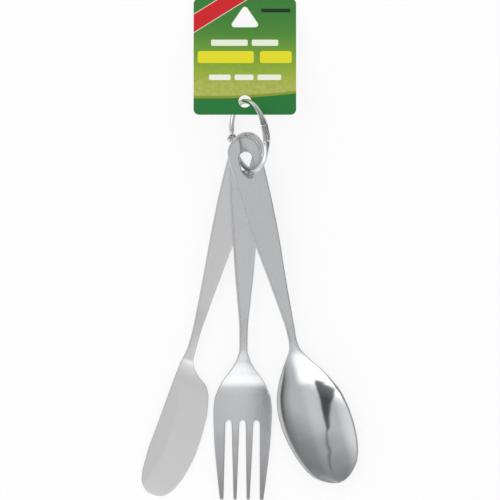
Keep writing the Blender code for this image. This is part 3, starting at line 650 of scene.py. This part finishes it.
# %% Shader helpers
def group_node(tree, group, **values):
    """A node group with its inputs fed by name."""
    node = tree.nodes.new("ShaderNodeGroup")
    node.node_tree = group
    for key, item in values.items():
        feed(tree, node.inputs[key.replace("_", " ")], item)
    return node


def mix_colour(tree, factor, under, over):
    """Colour mixed from two others; returns its output."""
    node = tree.nodes.new("ShaderNodeMix")
    node.data_type = "RGBA"
    for key, item in (("Factor", factor), ("A", under), ("B", over)):
        feed(tree, node.inputs[key], item)
    return node.outputs["Result"]


def noise(tree, vector, scale, detail=2.0, roughness=0.5):
    """Value of a noise texture."""
    return add(tree, "ShaderNodeTexNoise", Vector=vector, Scale=scale, Detail=detail,
               Roughness=roughness).outputs[0]


def colour_ramp(tree, value, rows):
    """Colour by a value, from (place, colour) rows."""
    node = add(tree, "ShaderNodeValToRGB", value)
    stops = node.color_ramp.elements
    while len(stops) < len(rows):
        stops.new(0.5)
    for stop, (spot, colour) in zip(stops, rows):
        stop.position = spot
        stop.color = colour
    return node.outputs[0]


def new_material(name):
    """Material with its tree and its Principled shader."""
    mat = bpy.data.materials.new(name)
    mat.use_nodes = True
    return mat, mat.node_tree, mat.node_tree.nodes["Principled BSDF"]


def relief(tree, shader, height, strength, depth):
    """Small bumps on a shader, with their depth in metres."""
    bump = add(tree, "ShaderNodeBump", Strength=strength, Distance=depth, Height=height)
    tree.links.new(bump.outputs[0], shader.inputs["Normal"])


# %% Shader group: polished grain
SCRATCH_TURN, SCRATCH_STRETCH = (0.0, 0.0, 0.5), (3.2, 0.35, 1.0)
SCRATCH_SCALE, SCRATCH_WIDE, SCRATCH_DEEP = 26.0, 0.012, 0.25


def grain_group():
    """Group that makes roughness, height and tone of polished metal."""
    tree = bpy.data.node_groups.new("polished_grain", "ShaderNodeTree")
    calc = partial(math_node, tree)
    socket(tree, "Vector", "NodeSocketVector")
    for name, value in (("Lines Across", 700.0), ("Lines Along", 9.0), ("Cloud Scale", 14.0),
                        ("Base Roughness", 0.28), ("Line Roughness", 0.06),
                        ("Cloud Roughness", 0.04), ("Scratch Roughness", 0.08)):
        socket(tree, name, "NodeSocketFloat", value=value)
    for name in ("Roughness", "Height", "Tone"):
        socket(tree, name, "NodeSocketFloat", "OUTPUT")
    given = tree.nodes.new("NodeGroupInput").outputs
    scale = add(tree, "ShaderNodeCombineXYZ", given["Lines Across"], given["Lines Along"], 1.0)
    stretch = add(tree, "ShaderNodeVectorMath", given["Vector"], scale.outputs[0])
    stretch.operation = "MULTIPLY"
    lines = noise(tree, stretch.outputs[0], 1.0, 3.0)
    clouds = noise(tree, given["Vector"], given["Cloud Scale"], 4.0)
    tilt = add(tree, "ShaderNodeMapping", Vector=given["Vector"], Rotation=SCRATCH_TURN,
               Scale=SCRATCH_STRETCH)
    marks = add(tree, "ShaderNodeTexVoronoi", Vector=tilt.outputs[0], Scale=SCRATCH_SCALE)
    marks.feature = "DISTANCE_TO_EDGE"
    scratch = map_range(tree, marks.outputs["Distance"], 0.0, SCRATCH_WIDE, 1.0, 0.0)
    rough = given["Base Roughness"]
    for amount, name in ((calc("SUBTRACT", lines, 0.5), "Line Roughness"),
                         (calc("SUBTRACT", clouds, 0.5), "Cloud Roughness"),
                         (scratch, "Scratch Roughness")):
        rough = calc("MULTIPLY_ADD", amount, given[name], rough)
    add(tree, "NodeGroupOutput", Roughness=rough,
        Height=calc("MULTIPLY_ADD", scratch, -SCRATCH_DEEP, lines),
        Tone=map_range(tree, clouds, 0.3, 0.7, 0.97, 1.0))
    return tree


GRAIN = grain_group()

# %% A metal from the group
CLOUD_TONE, GRAIN_DEPTH = 0.9, 0.00003
DISH_SHADE_SHARE, DISH_SHADE_TONE = 0.3, (0.12, 0.13, 0.14, 1.0)      # painted shade: how far the dish round the hole is darkened, and to what colour


def steel(name, colour, bump, coords="UV", polish=None, **values):
    """Metal with polishing lines, and painted shade that darkens the dish round the hole. polish is
    (from, to, roughness) along the piece, in tenths of a metre, where the finish turns into a
    mirror."""
    mat, tree, shader = new_material(name)
    calc = partial(math_node, tree)
    shader.inputs["Metallic"].default_value = 1.0
    place = tree.nodes.new("ShaderNodeTexCoord").outputs
    grain = group_node(tree, GRAIN, Vector=place[coords], **values)
    tint = mix_colour(tree, grain.outputs["Tone"], (*[CLOUD_TONE * c for c in colour], 1.0),
                      (*colour, 1.0))
    # Painted shade: the base colour is darkened towards near black in the dish round the hole.
    dish_shade_node = tree.nodes.new("ShaderNodeAttribute")
    dish_shade_node.attribute_name = "pressed"
    dish_shade = calc("MULTIPLY", dish_shade_node.outputs["Fac"], DISH_SHADE_SHARE)
    feed(tree, shader.inputs["Base Color"], mix_colour(tree, dish_shade, tint, DISH_SHADE_TONE))
    rough = grain.outputs["Roughness"]
    if polish:
        start, stop, mirror = polish
        run = add(tree, "ShaderNodeSeparateXYZ", place["UV"]).outputs[1]
        share = map_range(tree, run, start, stop, 0.0, 1.0)
        rough = calc("MULTIPLY_ADD", calc("SUBTRACT", mirror, rough), share, rough)
    feed(tree, shader.inputs["Roughness"], rough)
    relief(tree, shader, grain.outputs["Height"], bump, GRAIN_DEPTH)
    return mat


KNIFE_STEEL = steel("knife_satin_steel", (0.95, 0.95, 0.96), 0.08, Base_Roughness=0.34)
FORK_STEEL = steel("fork_brushed_steel", (0.79, 0.80, 0.815), 0.08, Base_Roughness=0.24)
SPOON_STEEL = steel("spoon_mirror_steel", (0.77, 0.79, 0.80), 0.05, Base_Roughness=0.27,
                    polish=(1.12, 1.24, 0.1))
RING_NICKEL = steel("ring_bright_nickel", (0.66, 0.67, 0.68), 0.1, "Object",
                    Base_Roughness=0.16, Lines_Across=900.0, Lines_Along=900.0)
for obj, finish in ((knife, KNIFE_STEEL), (fork, FORK_STEEL), (spoon, SPOON_STEEL)):
    obj.data.materials.append(finish)
    obj.data.validate()

# %% [markdown]
# ## Ring halves, hinge ears and rivet
# The tree draws the wires. The hinge is turned work: two ears on the lower half, a tongue on the
# upper half, and a rivet with domed heads. Each is a turned profile with rounded corners. Exact
# Booleans join ears and tongue to their wires and cut the gap and the bores.

# %% Ring axes and turned parts
YAW, TILT = math.radians(8.0), math.radians(60.8)
E1 = Vector((-math.sin(YAW), math.cos(YAW), 0.0))
E2 = Vector((math.cos(YAW) * math.cos(TILT), math.sin(YAW) * math.cos(TILT), math.sin(TILT)))
EN = E1.cross(E2)
RING_CENTRE = Vector((-0.196, 55.756, 17.279))
RING_AXES = Matrix((E1, E2, EN)).transposed().to_4x4()
TO_RING = Matrix.Translation(RING_CENTRE * MM) @ RING_AXES @ Matrix.Scale(MM, 4)
HINGE = (0.0, -17.1)
SHARP_FROM = 38.0           # degrees between faces from which an edge looks sharp


def turned(name, profile, steps):
    """Closed shell turned from (radius, height) points about the hinge's axis."""
    bm = bmesh.new()
    chain = [bm.verts.new((r, 0.0, z)) for r, z in profile]
    edges = [bm.edges.new(pair) for pair in zip(chain, chain[1:])]
    bmesh.ops.spin(bm, geom=chain + edges, cent=(0, 0, 0), axis=(0, 0, 1),
                   angle=2.0 * math.pi, steps=steps, use_merge=True)
    bmesh.ops.remove_doubles(bm, verts=bm.verts[:], dist=0.0001)
    bmesh.ops.recalc_face_normals(bm, faces=bm.faces[:])
    bmesh.ops.translate(bm, verts=bm.verts[:], vec=(*HINGE, 0.0))
    mesh = bpy.data.meshes.new(name)
    bm.to_mesh(mesh)
    bm.free()
    return put(name, mesh)


def round_drum(name, radius, half, corner, steps=48):
    """Short turned drum with rounded corners."""
    profile = [(0.0, -half)]
    for k in range(6):
        a = 0.5 * math.pi * k / 5
        profile.append((radius - corner * (1.0 - math.sin(a)),
                        -half + corner * (1.0 - math.cos(a))))
    profile += [(r, -z) for r, z in reversed(profile)]
    return turned(name, profile, steps)


def fused(name, mesh, steps):
    """Apply Booleans (operation, tool) to a mesh and return the finished object in its place."""
    obj = put(name, mesh)
    for k, (operation, tool) in enumerate(steps):
        mod = obj.modifiers.new("step_%d" % k, "BOOLEAN")
        mod.operation, mod.solver, mod.object = operation, "EXACT", tool
    graph = bpy.context.evaluated_depsgraph_get()
    done = bpy.data.meshes.new_from_object(obj.evaluated_get(graph))
    obj.modifiers.clear()
    obj.data = done
    for _, tool in steps:
        bpy.data.objects.remove(tool, do_unlink=True)
    done.transform(TO_RING)
    done.materials.clear()
    done.materials.append(RING_NICKEL)
    done.polygons.foreach_set("use_smooth", [True] * len(done.polygons))
    done.set_sharp_from_angle(angle=math.radians(SHARP_FROM))
    print(name, "faces", len(done.polygons))
    return obj


# %% Build the ring
TREE = half_ring_tree(RING_NICKEL)
LAP_END = 12.2
EAR_R, EAR_HALF, EAR_CORNER = 1.8, 1.6, 0.3
TONGUE_R, TONGUE_HALF, TONGUE_CORNER = 1.5, 0.6, 0.15
GAP_HALF, GAP_PAST, CUT_CORNER = 0.75, 0.15, 0.05
PIN_R, PIN_AIR, BORE_HALF, BORE_STEPS = 0.75, 0.1, 4.0, 32
HEAD_R, HEAD_FROM, HEAD_TALL, HEAD_STEPS, RIVET_STEPS = 1.3, 1.7, 0.85, 9, 40


def bore(name):
    """Cutter for the hole that the rivet goes through."""
    return round_drum(name, PIN_R + PIN_AIR, BORE_HALF, CUT_CORNER, BORE_STEPS)


lower = grown("lower_wire", TREE, {"First Turn": SNAP_TURN - LAP_END, "Last Turn": 270.0,
                                   "Side": -1.0})
ring_lower = fused("ring_lower_half", lower, (
    ("UNION", round_drum("ears", EAR_R, EAR_HALF, EAR_CORNER)),
    ("DIFFERENCE", round_drum("ear_gap", EAR_R + GAP_PAST, GAP_HALF, CUT_CORNER)),
    ("DIFFERENCE", bore("ear_bore"))))
upper = grown("upper_wire", TREE, {"First Turn": -90.0, "Last Turn": SNAP_TURN + LAP_END,
                                   "Side": 1.0, "Slim Half Width": 0.52})
ring_upper = fused("ring_upper_half", upper, (
    ("UNION", round_drum("tongue", TONGUE_R, TONGUE_HALF, TONGUE_CORNER)),
    ("DIFFERENCE", bore("tongue_bore"))))
head = [(0.0, -HEAD_FROM - HEAD_TALL)]
for k in range(1, HEAD_STEPS + 1):
    a = 0.5 * math.pi * k / HEAD_STEPS
    head.append((HEAD_R * math.sin(a), -HEAD_FROM - HEAD_TALL * math.cos(a)))
head.append((PIN_R, -HEAD_FROM))
rivet = turned("rivet", head + [(r, -z) for r, z in reversed(head)], RIVET_STEPS)
hinge_rivet = fused("hinge_rivet_domed", rivet.data, ())
bpy.data.objects.remove(rivet, do_unlink=True)

# %% [markdown]
# ## The hang card
# The card is thick coated board, die-cut with a rounded triangular hang hole and a round hole for
# the ring. The same plate maker cuts it, with a very small edge radius. Its print is a set of
# plain fields of colour laid out in millimetres on the card's own map.

# %% Card shape
CARD_W, CARD_L, CARD_T, CARD_CORNER = 50.4, 60.3, 0.55, 2.8
CARD_HOLE_X, CARD_HOLE_UP, CARD_HOLE_D = 0.7, 6.95, 6.35
CARD_PLACE = (Matrix.Translation(Vector((-3.0061, 72.6017, 16.4976)) * MM)
              @ Matrix.Rotation(math.radians(-17.7174), 4, "X") @ Matrix.Scale(MM, 4))
CARD_EDGE, CARD_STEP = 0.16, 1.6


def arc(cx, cy, radius, start, stop, steps):
    """Points on a circle between two angles in degrees."""
    return [(cx + radius * math.cos(math.radians(a)), cy + radius * math.sin(math.radians(a)))
            for a in np.linspace(start, stop, steps)]


def card_outline():
    """Outline of the card on its own map, which runs up from its near edge."""
    half, pts = 0.5 * CARD_W - CARD_CORNER, []
    for cx, cy, start in ((half, CARD_L - CARD_CORNER, 0), (-half, CARD_L - CARD_CORNER, 90),
                          (-half, CARD_CORNER, 180), (half, CARD_CORNER, 270)):
        pts += arc(cx, cy, CARD_CORNER, start, start + 90, 14)
    return pts


def delta_hole():
    """The rounded triangle that the card hangs from."""
    width, tall, radius, base = 13.0, 10.6, 1.4, 45.3
    half, rise = 0.5 * width - radius, tall - 2.0 * radius
    lean = math.degrees(math.atan2(rise, half))
    pts = arc(half, base + radius, radius, -90, 90 - lean, 10)
    pts += arc(0.0, base + radius + rise, radius, 90 - lean, 90 + lean, 14)
    return pts + arc(-half, base + radius, radius, 90 + lean, 270, 10)


def to_plate(points, step):
    """From the card's map to the plate maker's, whose s runs the other way."""
    moved = [(CARD_HOLE_X + x, PIVOT_S - (y - CARD_HOLE_UP)) for x, y in points]
    return resample(moved, step)


round_hole = arc(0.0, CARD_HOLE_UP, 0.5 * CARD_HOLE_D, 0, 355, 72)
card, card_tops = rolled_plate(
    "hang_card_printed", to_plate(card_outline(), 0.6),
    [to_plate(delta_hole(), 0.4), to_plate(round_hole, 0.3)],
    lambda x, s: (np.full(len(x), 0.5 * CARD_T), np.full(len(x), -0.5 * CARD_T)),
    lambda x, s: np.full(len(x), CARD_EDGE), CARD_PLACE, ((-60.0, 40.0, CARD_STEP),))
for item in card.data.uv_layers["plan"].data:
    item.uv = (item.uv[0] - MAP_SCALE * (CARD_HOLE_X - 0.5 * CARD_W),
               MAP_SCALE * (PIVOT_S + CARD_HOLE_UP) - item.uv[1])


# %% Shader group: one printed block
BLOCK_BLUR, FOOT_BLUR, BAND_BLUR = 0.0006, 0.0006, 0.0007


def block_group():
    """Group for the mask of a rounded block on a map, with sizes in tenths of a metre."""
    tree = bpy.data.node_groups.new("printed_block", "ShaderNodeTree")
    calc = partial(math_node, tree)
    socket(tree, "Vector", "NodeSocketVector")
    for name in ("Left", "Right", "Low", "High", "Corner"):
        socket(tree, name, "NodeSocketFloat", value=0.1)
    socket(tree, "Mask", "NodeSocketFloat", "OUTPUT")
    given = tree.nodes.new("NodeGroupInput").outputs
    parts = add(tree, "ShaderNodeSeparateXYZ", given["Vector"]).outputs
    sides = []
    for part, low, high in ((parts[0], "Left", "Right"), (parts[1], "Low", "High")):
        total = calc("ADD", given[low], given[high])
        half = calc("MULTIPLY", calc("SUBTRACT", given[high], given[low]), 0.5)
        off = calc("MULTIPLY_ADD", total, -0.5, part)
        gap = calc("SUBTRACT", calc("ABSOLUTE", off), half)
        sides.append(calc("ADD", gap, given["Corner"]))
    squares = [calc("POWER", calc("MAXIMUM", side, 0.0), 2.0) for side in sides]
    far = calc("SQRT", calc("ADD", *squares))
    near = calc("MINIMUM", calc("MAXIMUM", *sides), 0.0)
    gap = calc("SUBTRACT", calc("ADD", far, near), given["Corner"])
    add(tree, "NodeGroupOutput", Mask=map_range(tree, gap, -BLOCK_BLUR, BLOCK_BLUR, 1.0, 0.0))
    return tree


BLOCK = block_group()


# %% Card print
def linear(code):
    """Linear colour of a hexadecimal display colour."""
    parts = [int(code[k:k + 2], 16) / 255.0 for k in (0, 2, 4)]
    return (*[c / 12.92 if c <= 0.04045 else ((c + 0.055) / 1.055) ** 2.4 for c in parts], 1.0)


FADE = ((0.02, "c6cd70"), (0.105, "c0c766"), (0.16, "bac35a"), (0.22, "9fb83c"), (0.30, "7aa738"),
        (0.36, "669a3a"), (0.42, "4c8c39"), (0.52, "3c833a"), (0.60, "34803a"))
# Blocks of colour: left, right, low, high and corner in millimetres, with their colour.
BLOCKS = ((8.6, 26.6, 35.6, 38.8, 0.7, "eef2df"), (28.6, 41.6, 35.6, 38.8, 0.7, "eef2df"),
          (2.0, 29.6, 26.7, 32.9, 1.2, "e9e02c"), (32.6, 48.2, 26.7, 32.9, 1.2, "e9e02c"),
          (7.6, 18.2, 17.9, 20.7, 0.6, "f1f4e4"), (20.2, 29.4, 17.9, 20.7, 0.6, "f1f4e4"),
          (31.4, 43.0, 17.9, 20.7, 0.6, "f1f4e4"), (33.2, 47.6, 52.9, 54.9, 0.5, "1f3c24"))
FOOT_FROM, FOOT_RISE, FOOT_POWER = 0.13, 0.155, 1.8     # the foot's edge curves up to the right
FOOTS = ((0.0972, "8f9c33"), (0.0844, "2b7d3d"))        # olive stripe, green field
BAND_SLOPE = 0.653
BANDS = ((0.4219, 0.5217, "e9e6d2"), (0.4259, 0.5177, "d2252b"))


def card_print():
    """Printed front of the card."""
    mat, tree, shader = new_material("card_coated_print")
    calc, step = partial(math_node, tree), partial(map_range, tree)
    place = tree.nodes.new("ShaderNodeTexCoord").outputs["UV"]
    x, y, _ = add(tree, "ShaderNodeSeparateXYZ", place).outputs
    colour = colour_ramp(tree, y, [(spot, linear(code)) for spot, code in FADE])
    # The speckle of the printed screen is strong in the pale part and fades towards the top.
    speck = noise(tree, place, 210.0, 5.0, 0.7)
    level = calc("MULTIPLY_ADD", noise(tree, place, 45.0), 0.5, speck)
    level = calc("MULTIPLY", step(level, 0.55, 0.95, 0.0, 1.0), step(y, 0.1, 0.5, 0.55, 0.12))
    colour = mix_colour(tree, level, colour, linear("7d9440"))
    # The foot of the card: a dark green field under a thin olive stripe, both on one curve.
    rise = calc("POWER", calc("MAXIMUM", calc("SUBTRACT", x, FOOT_FROM), 0.0), FOOT_POWER)
    foot = calc("MULTIPLY_ADD", rise, -FOOT_RISE, y)
    for top, code in FOOTS:
        mask = step(foot, top - FOOT_BLUR, top + FOOT_BLUR, 1.0, 0.0)
        colour = mix_colour(tree, mask, colour, linear(code))
    # The red band across the upper left corner lies on a wider pale one.
    band = calc("MULTIPLY_ADD", x, -BAND_SLOPE, y)
    for low, high, code in BANDS:
        mask = calc("MULTIPLY", step(band, low - BAND_BLUR, low + BAND_BLUR, 0.0, 1.0),
                    step(band, high - BAND_BLUR, high + BAND_BLUR, 1.0, 0.0))
        colour = mix_colour(tree, mask, colour, linear(code))
    for *sizes, code in BLOCKS:
        left, right, low, high, corner = (size * MAP_SCALE for size in sizes)
        block = group_node(tree, BLOCK, Vector=place, Left=left, Right=right, Low=low, High=high,
                           Corner=corner)
        colour = mix_colour(tree, block.outputs[0], colour, linear(code))
    side = tree.nodes.new("ShaderNodeAttribute")
    side.attribute_name = "rim"
    cut = step(side.outputs["Fac"], 0.35, 0.75, 0.0, 1.0)
    feed(tree, shader.inputs["Base Color"], mix_colour(tree, cut, colour, linear("e6e4da")))
    shader.inputs["Specular IOR Level"].default_value = 0.18
    feed(tree, shader.inputs["Roughness"], calc("MULTIPLY_ADD", speck, 0.14, 0.4))
    relief(tree, shader, speck, 0.15, 0.00004)
    return mat


def bare_board():
    """Unprinted back of the card: warm white board with fibres."""
    mat, tree, shader = new_material("card_bare_board")
    fibre = noise(tree, tree.nodes.new("ShaderNodeTexCoord").outputs["UV"], 120.0, 6.0)
    feed(tree, shader.inputs["Base Color"],
         mix_colour(tree, fibre, linear("dad7cc"), linear("f2f0e8")))
    feed(tree, shader.inputs["Roughness"], math_node(tree, "MULTIPLY_ADD", fibre, 0.2, 0.6))
    relief(tree, shader, fibre, 0.2, 0.00005)
    return mat


card.data.materials.append(card_print())
card.data.materials.append(bare_board())
card.data.polygons.foreach_set("material_index",
                               [0] * card_tops + [1] * (len(card.data.polygons) - card_tops))

# %% [markdown]
# ## Riding on the bodies
# Each detailed piece stands for its CAD solid and moves with the same body.

# %% Ride and replace
RIDES = ((knife, "knife", "knife", "knife_steel"), (fork, "fork", "fork", "fork_steel"),
         (spoon, "spoon", "spoon", "spoon_steel"),
         (ring_lower, "ring_lower", "ring_lower", "ring_nickel"),
         (ring_upper, "ring_upper", "ring_upper", "ring_nickel"),
         (hinge_rivet, "ring_lower", "hinge_rivet", "ring_nickel"),
         (card, "hang_card", "hang_card", "card_print"))
for piece, body, node, slot in RIDES:
    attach(piece, body)
    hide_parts(node)
    low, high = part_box(node)
    co = np.array([v.co for v in piece.data.vertices])
    print(node, "off its solid by mm", np.round((co.min(0) - np.array(low)) * 1000, 2),
          np.round((co.max(0) - np.array(high)) * 1000, 2))

# %% [markdown]
# ## Light, table and camera
# Polished steel shows what is round it, so the studio is mostly in the sky of the scene: bright
# on the side nearest the viewer, darker beyond, with one dark strip like the edge of a studio
# screen. One large soft lamp adds a little direction. The table is white.

# %% Studio sky
world = bpy.data.worlds.new("studio")
bpy.context.scene.world = world
world.use_nodes = True
sky = world.node_tree
back = sky.nodes["Background"]
look = sky.nodes.new("ShaderNodeSeparateXYZ")
sky.links.new(sky.nodes.new("ShaderNodeTexCoord").outputs["Generated"], look.inputs[0])
X, Y, Z = look.outputs
SKY_TOP = 1.4
SKY_ALONG = ((-1.0, 0.7), (-0.42, 0.66), (-0.33, 0.68), (-0.09, 0.69), (0.12, 0.49),
             (0.30, 0.36), (0.50, 0.28), (1.0, 0.7))
SKY_ACROSS = ((-1.0, 0.2), (-0.93, 0.3), (-0.85, 1.3), (-0.66, 1.1), (-0.50, 0.82), (-0.20, 0.9),
              (-0.05, 1.0), (0.08, 1.0), (0.22, 0.84), (0.62, 0.8), (0.80, 0.55), (0.90, 0.15))
SCREEN_MID, SCREEN_NEAR, SCREEN_FAR = -0.14, 0.47, 0.22     # its middle line and two slopes
SCREEN_WIDE, SCREEN_NARROW, SCREEN_DARK = 0.19, 0.014, 0.88
sky_math, sky_step = partial(math_node, sky), partial(map_range, sky)


def sky_ramp(axis, rows):
    """Brightness by one direction, from (direction, level) rows."""
    share = sky_step(axis, -1.0, 1.0, 0.0, 1.0, False)
    rows = [(0.5 + 0.5 * spot, (*[level / SKY_TOP] * 3, 1.0)) for spot, level in rows]
    return sky_math("MULTIPLY", colour_ramp(sky, share, rows), SKY_TOP)


level = sky_math("MULTIPLY", sky_ramp(Y, SKY_ALONG), sky_ramp(X, SKY_ACROSS))
# The main softbox on the near side, which fades out to the right.
box = sky_math("MULTIPLY", sky_step(Y, -0.58, -0.38, 0.85, 0.0), sky_step(X, 0.10, 0.48, 1.0, 0.0))
level = sky_math("ADD", level, box)
# The dark screen: its middle line runs aslant, and it narrows from the near side to the far side.
line = sky_math("MULTIPLY_ADD", sky_math("MINIMUM", Y, 0.0), SCREEN_NEAR, SCREEN_MID)
line = sky_math("MULTIPLY_ADD", sky_math("MAXIMUM", Y, 0.0), SCREEN_FAR, line)
aslant = sky_math("ABSOLUTE", sky_math("SUBTRACT", X, line))
width = sky_step(Y, -0.5, 0.0, SCREEN_WIDE, SCREEN_NARROW, False)
flag = sky_step(sky_math("SUBTRACT", aslant, width), -0.012, 0.012, 1.0, 0.0)
flag = sky_math("MULTIPLY", flag, sky_step(Y, -0.66, -0.60, 0.0, 1.0))
flag = sky_math("MULTIPLY", flag, sky_step(Y, 0.3, 0.5, 1.0, 0.0))
level = sky_math("MULTIPLY", level, sky_math("MULTIPLY_ADD", flag, -SCREEN_DARK, 1.0))
kind = sky.nodes.new("ShaderNodeLightPath").outputs
plain = mix_colour(sky, kind["Is Glossy Ray"], (0.86, 0.86, 0.87, 1.0), level)
plain = mix_colour(sky, kind["Is Camera Ray"], plain, (1.0, 1.0, 1.0, 1.0))
sky.links.new(plain, back.inputs["Color"])

# %% Lamp
lamp_data = bpy.data.lights.new("softbox", "AREA")
lamp_data.shape = "RECTANGLE"
lamp_data.size, lamp_data.size_y = 0.5, 0.35
lamp_data.energy = 0.9
lamp = put("softbox", lamp_data)
lamp.location = (-0.45, 0.25, 0.8)
lamp.visible_glossy = False
lamp.rotation_euler = (-Vector(lamp.location)).to_track_quat("-Z", "Y").to_euler()

# %% Table
TABLE_HALF, TABLE_Z = 3.0, -0.0002      # metres; a hair below the pieces that touch it
bm = bmesh.new()
bmesh.ops.create_grid(bm, x_segments=2, y_segments=2, size=TABLE_HALF)
bmesh.ops.translate(bm, verts=bm.verts[:], vec=(0.0, 0.0, TABLE_Z))
mesh = bpy.data.meshes.new("table")
bm.to_mesh(mesh)
bm.free()
table = put("table", mesh)
white, tree, shader = new_material("table_white")
tree.nodes.remove(shader)
matt = add(tree, "ShaderNodeBsdfDiffuse", Color=(0.98, 0.98, 0.98, 1.0))
glow = tree.nodes.new("ShaderNodeEmission")
path = tree.nodes.new("ShaderNodeLightPath")
seen = math_node(tree, "MULTIPLY", path.outputs["Is Camera Ray"], 0.8)
blend = add(tree, "ShaderNodeMixShader", seen, matt.outputs[0], glow.outputs[0])
tree.links.new(blend.outputs[0], tree.nodes["Material Output"].inputs["Surface"])
table.data.materials.append(white)

# %% Camera
VIEW_WIDTH = 0.2459         # what the photograph's frame covers at the table, in metres
VIEW_AWAY = 8.0             # far off, so that perspective stays weak, as in the photograph
camera_data = bpy.data.cameras.new("camera")
camera_data.lens = camera_data.sensor_width * VIEW_AWAY / VIEW_WIDTH
camera_data.clip_end = 100.0
camera = put("camera", camera_data)
camera.location = (0.00022, -0.00033, VIEW_AWAY)
bpy.context.scene.camera = camera
bpy.context.scene.view_settings.view_transform = "Standard"
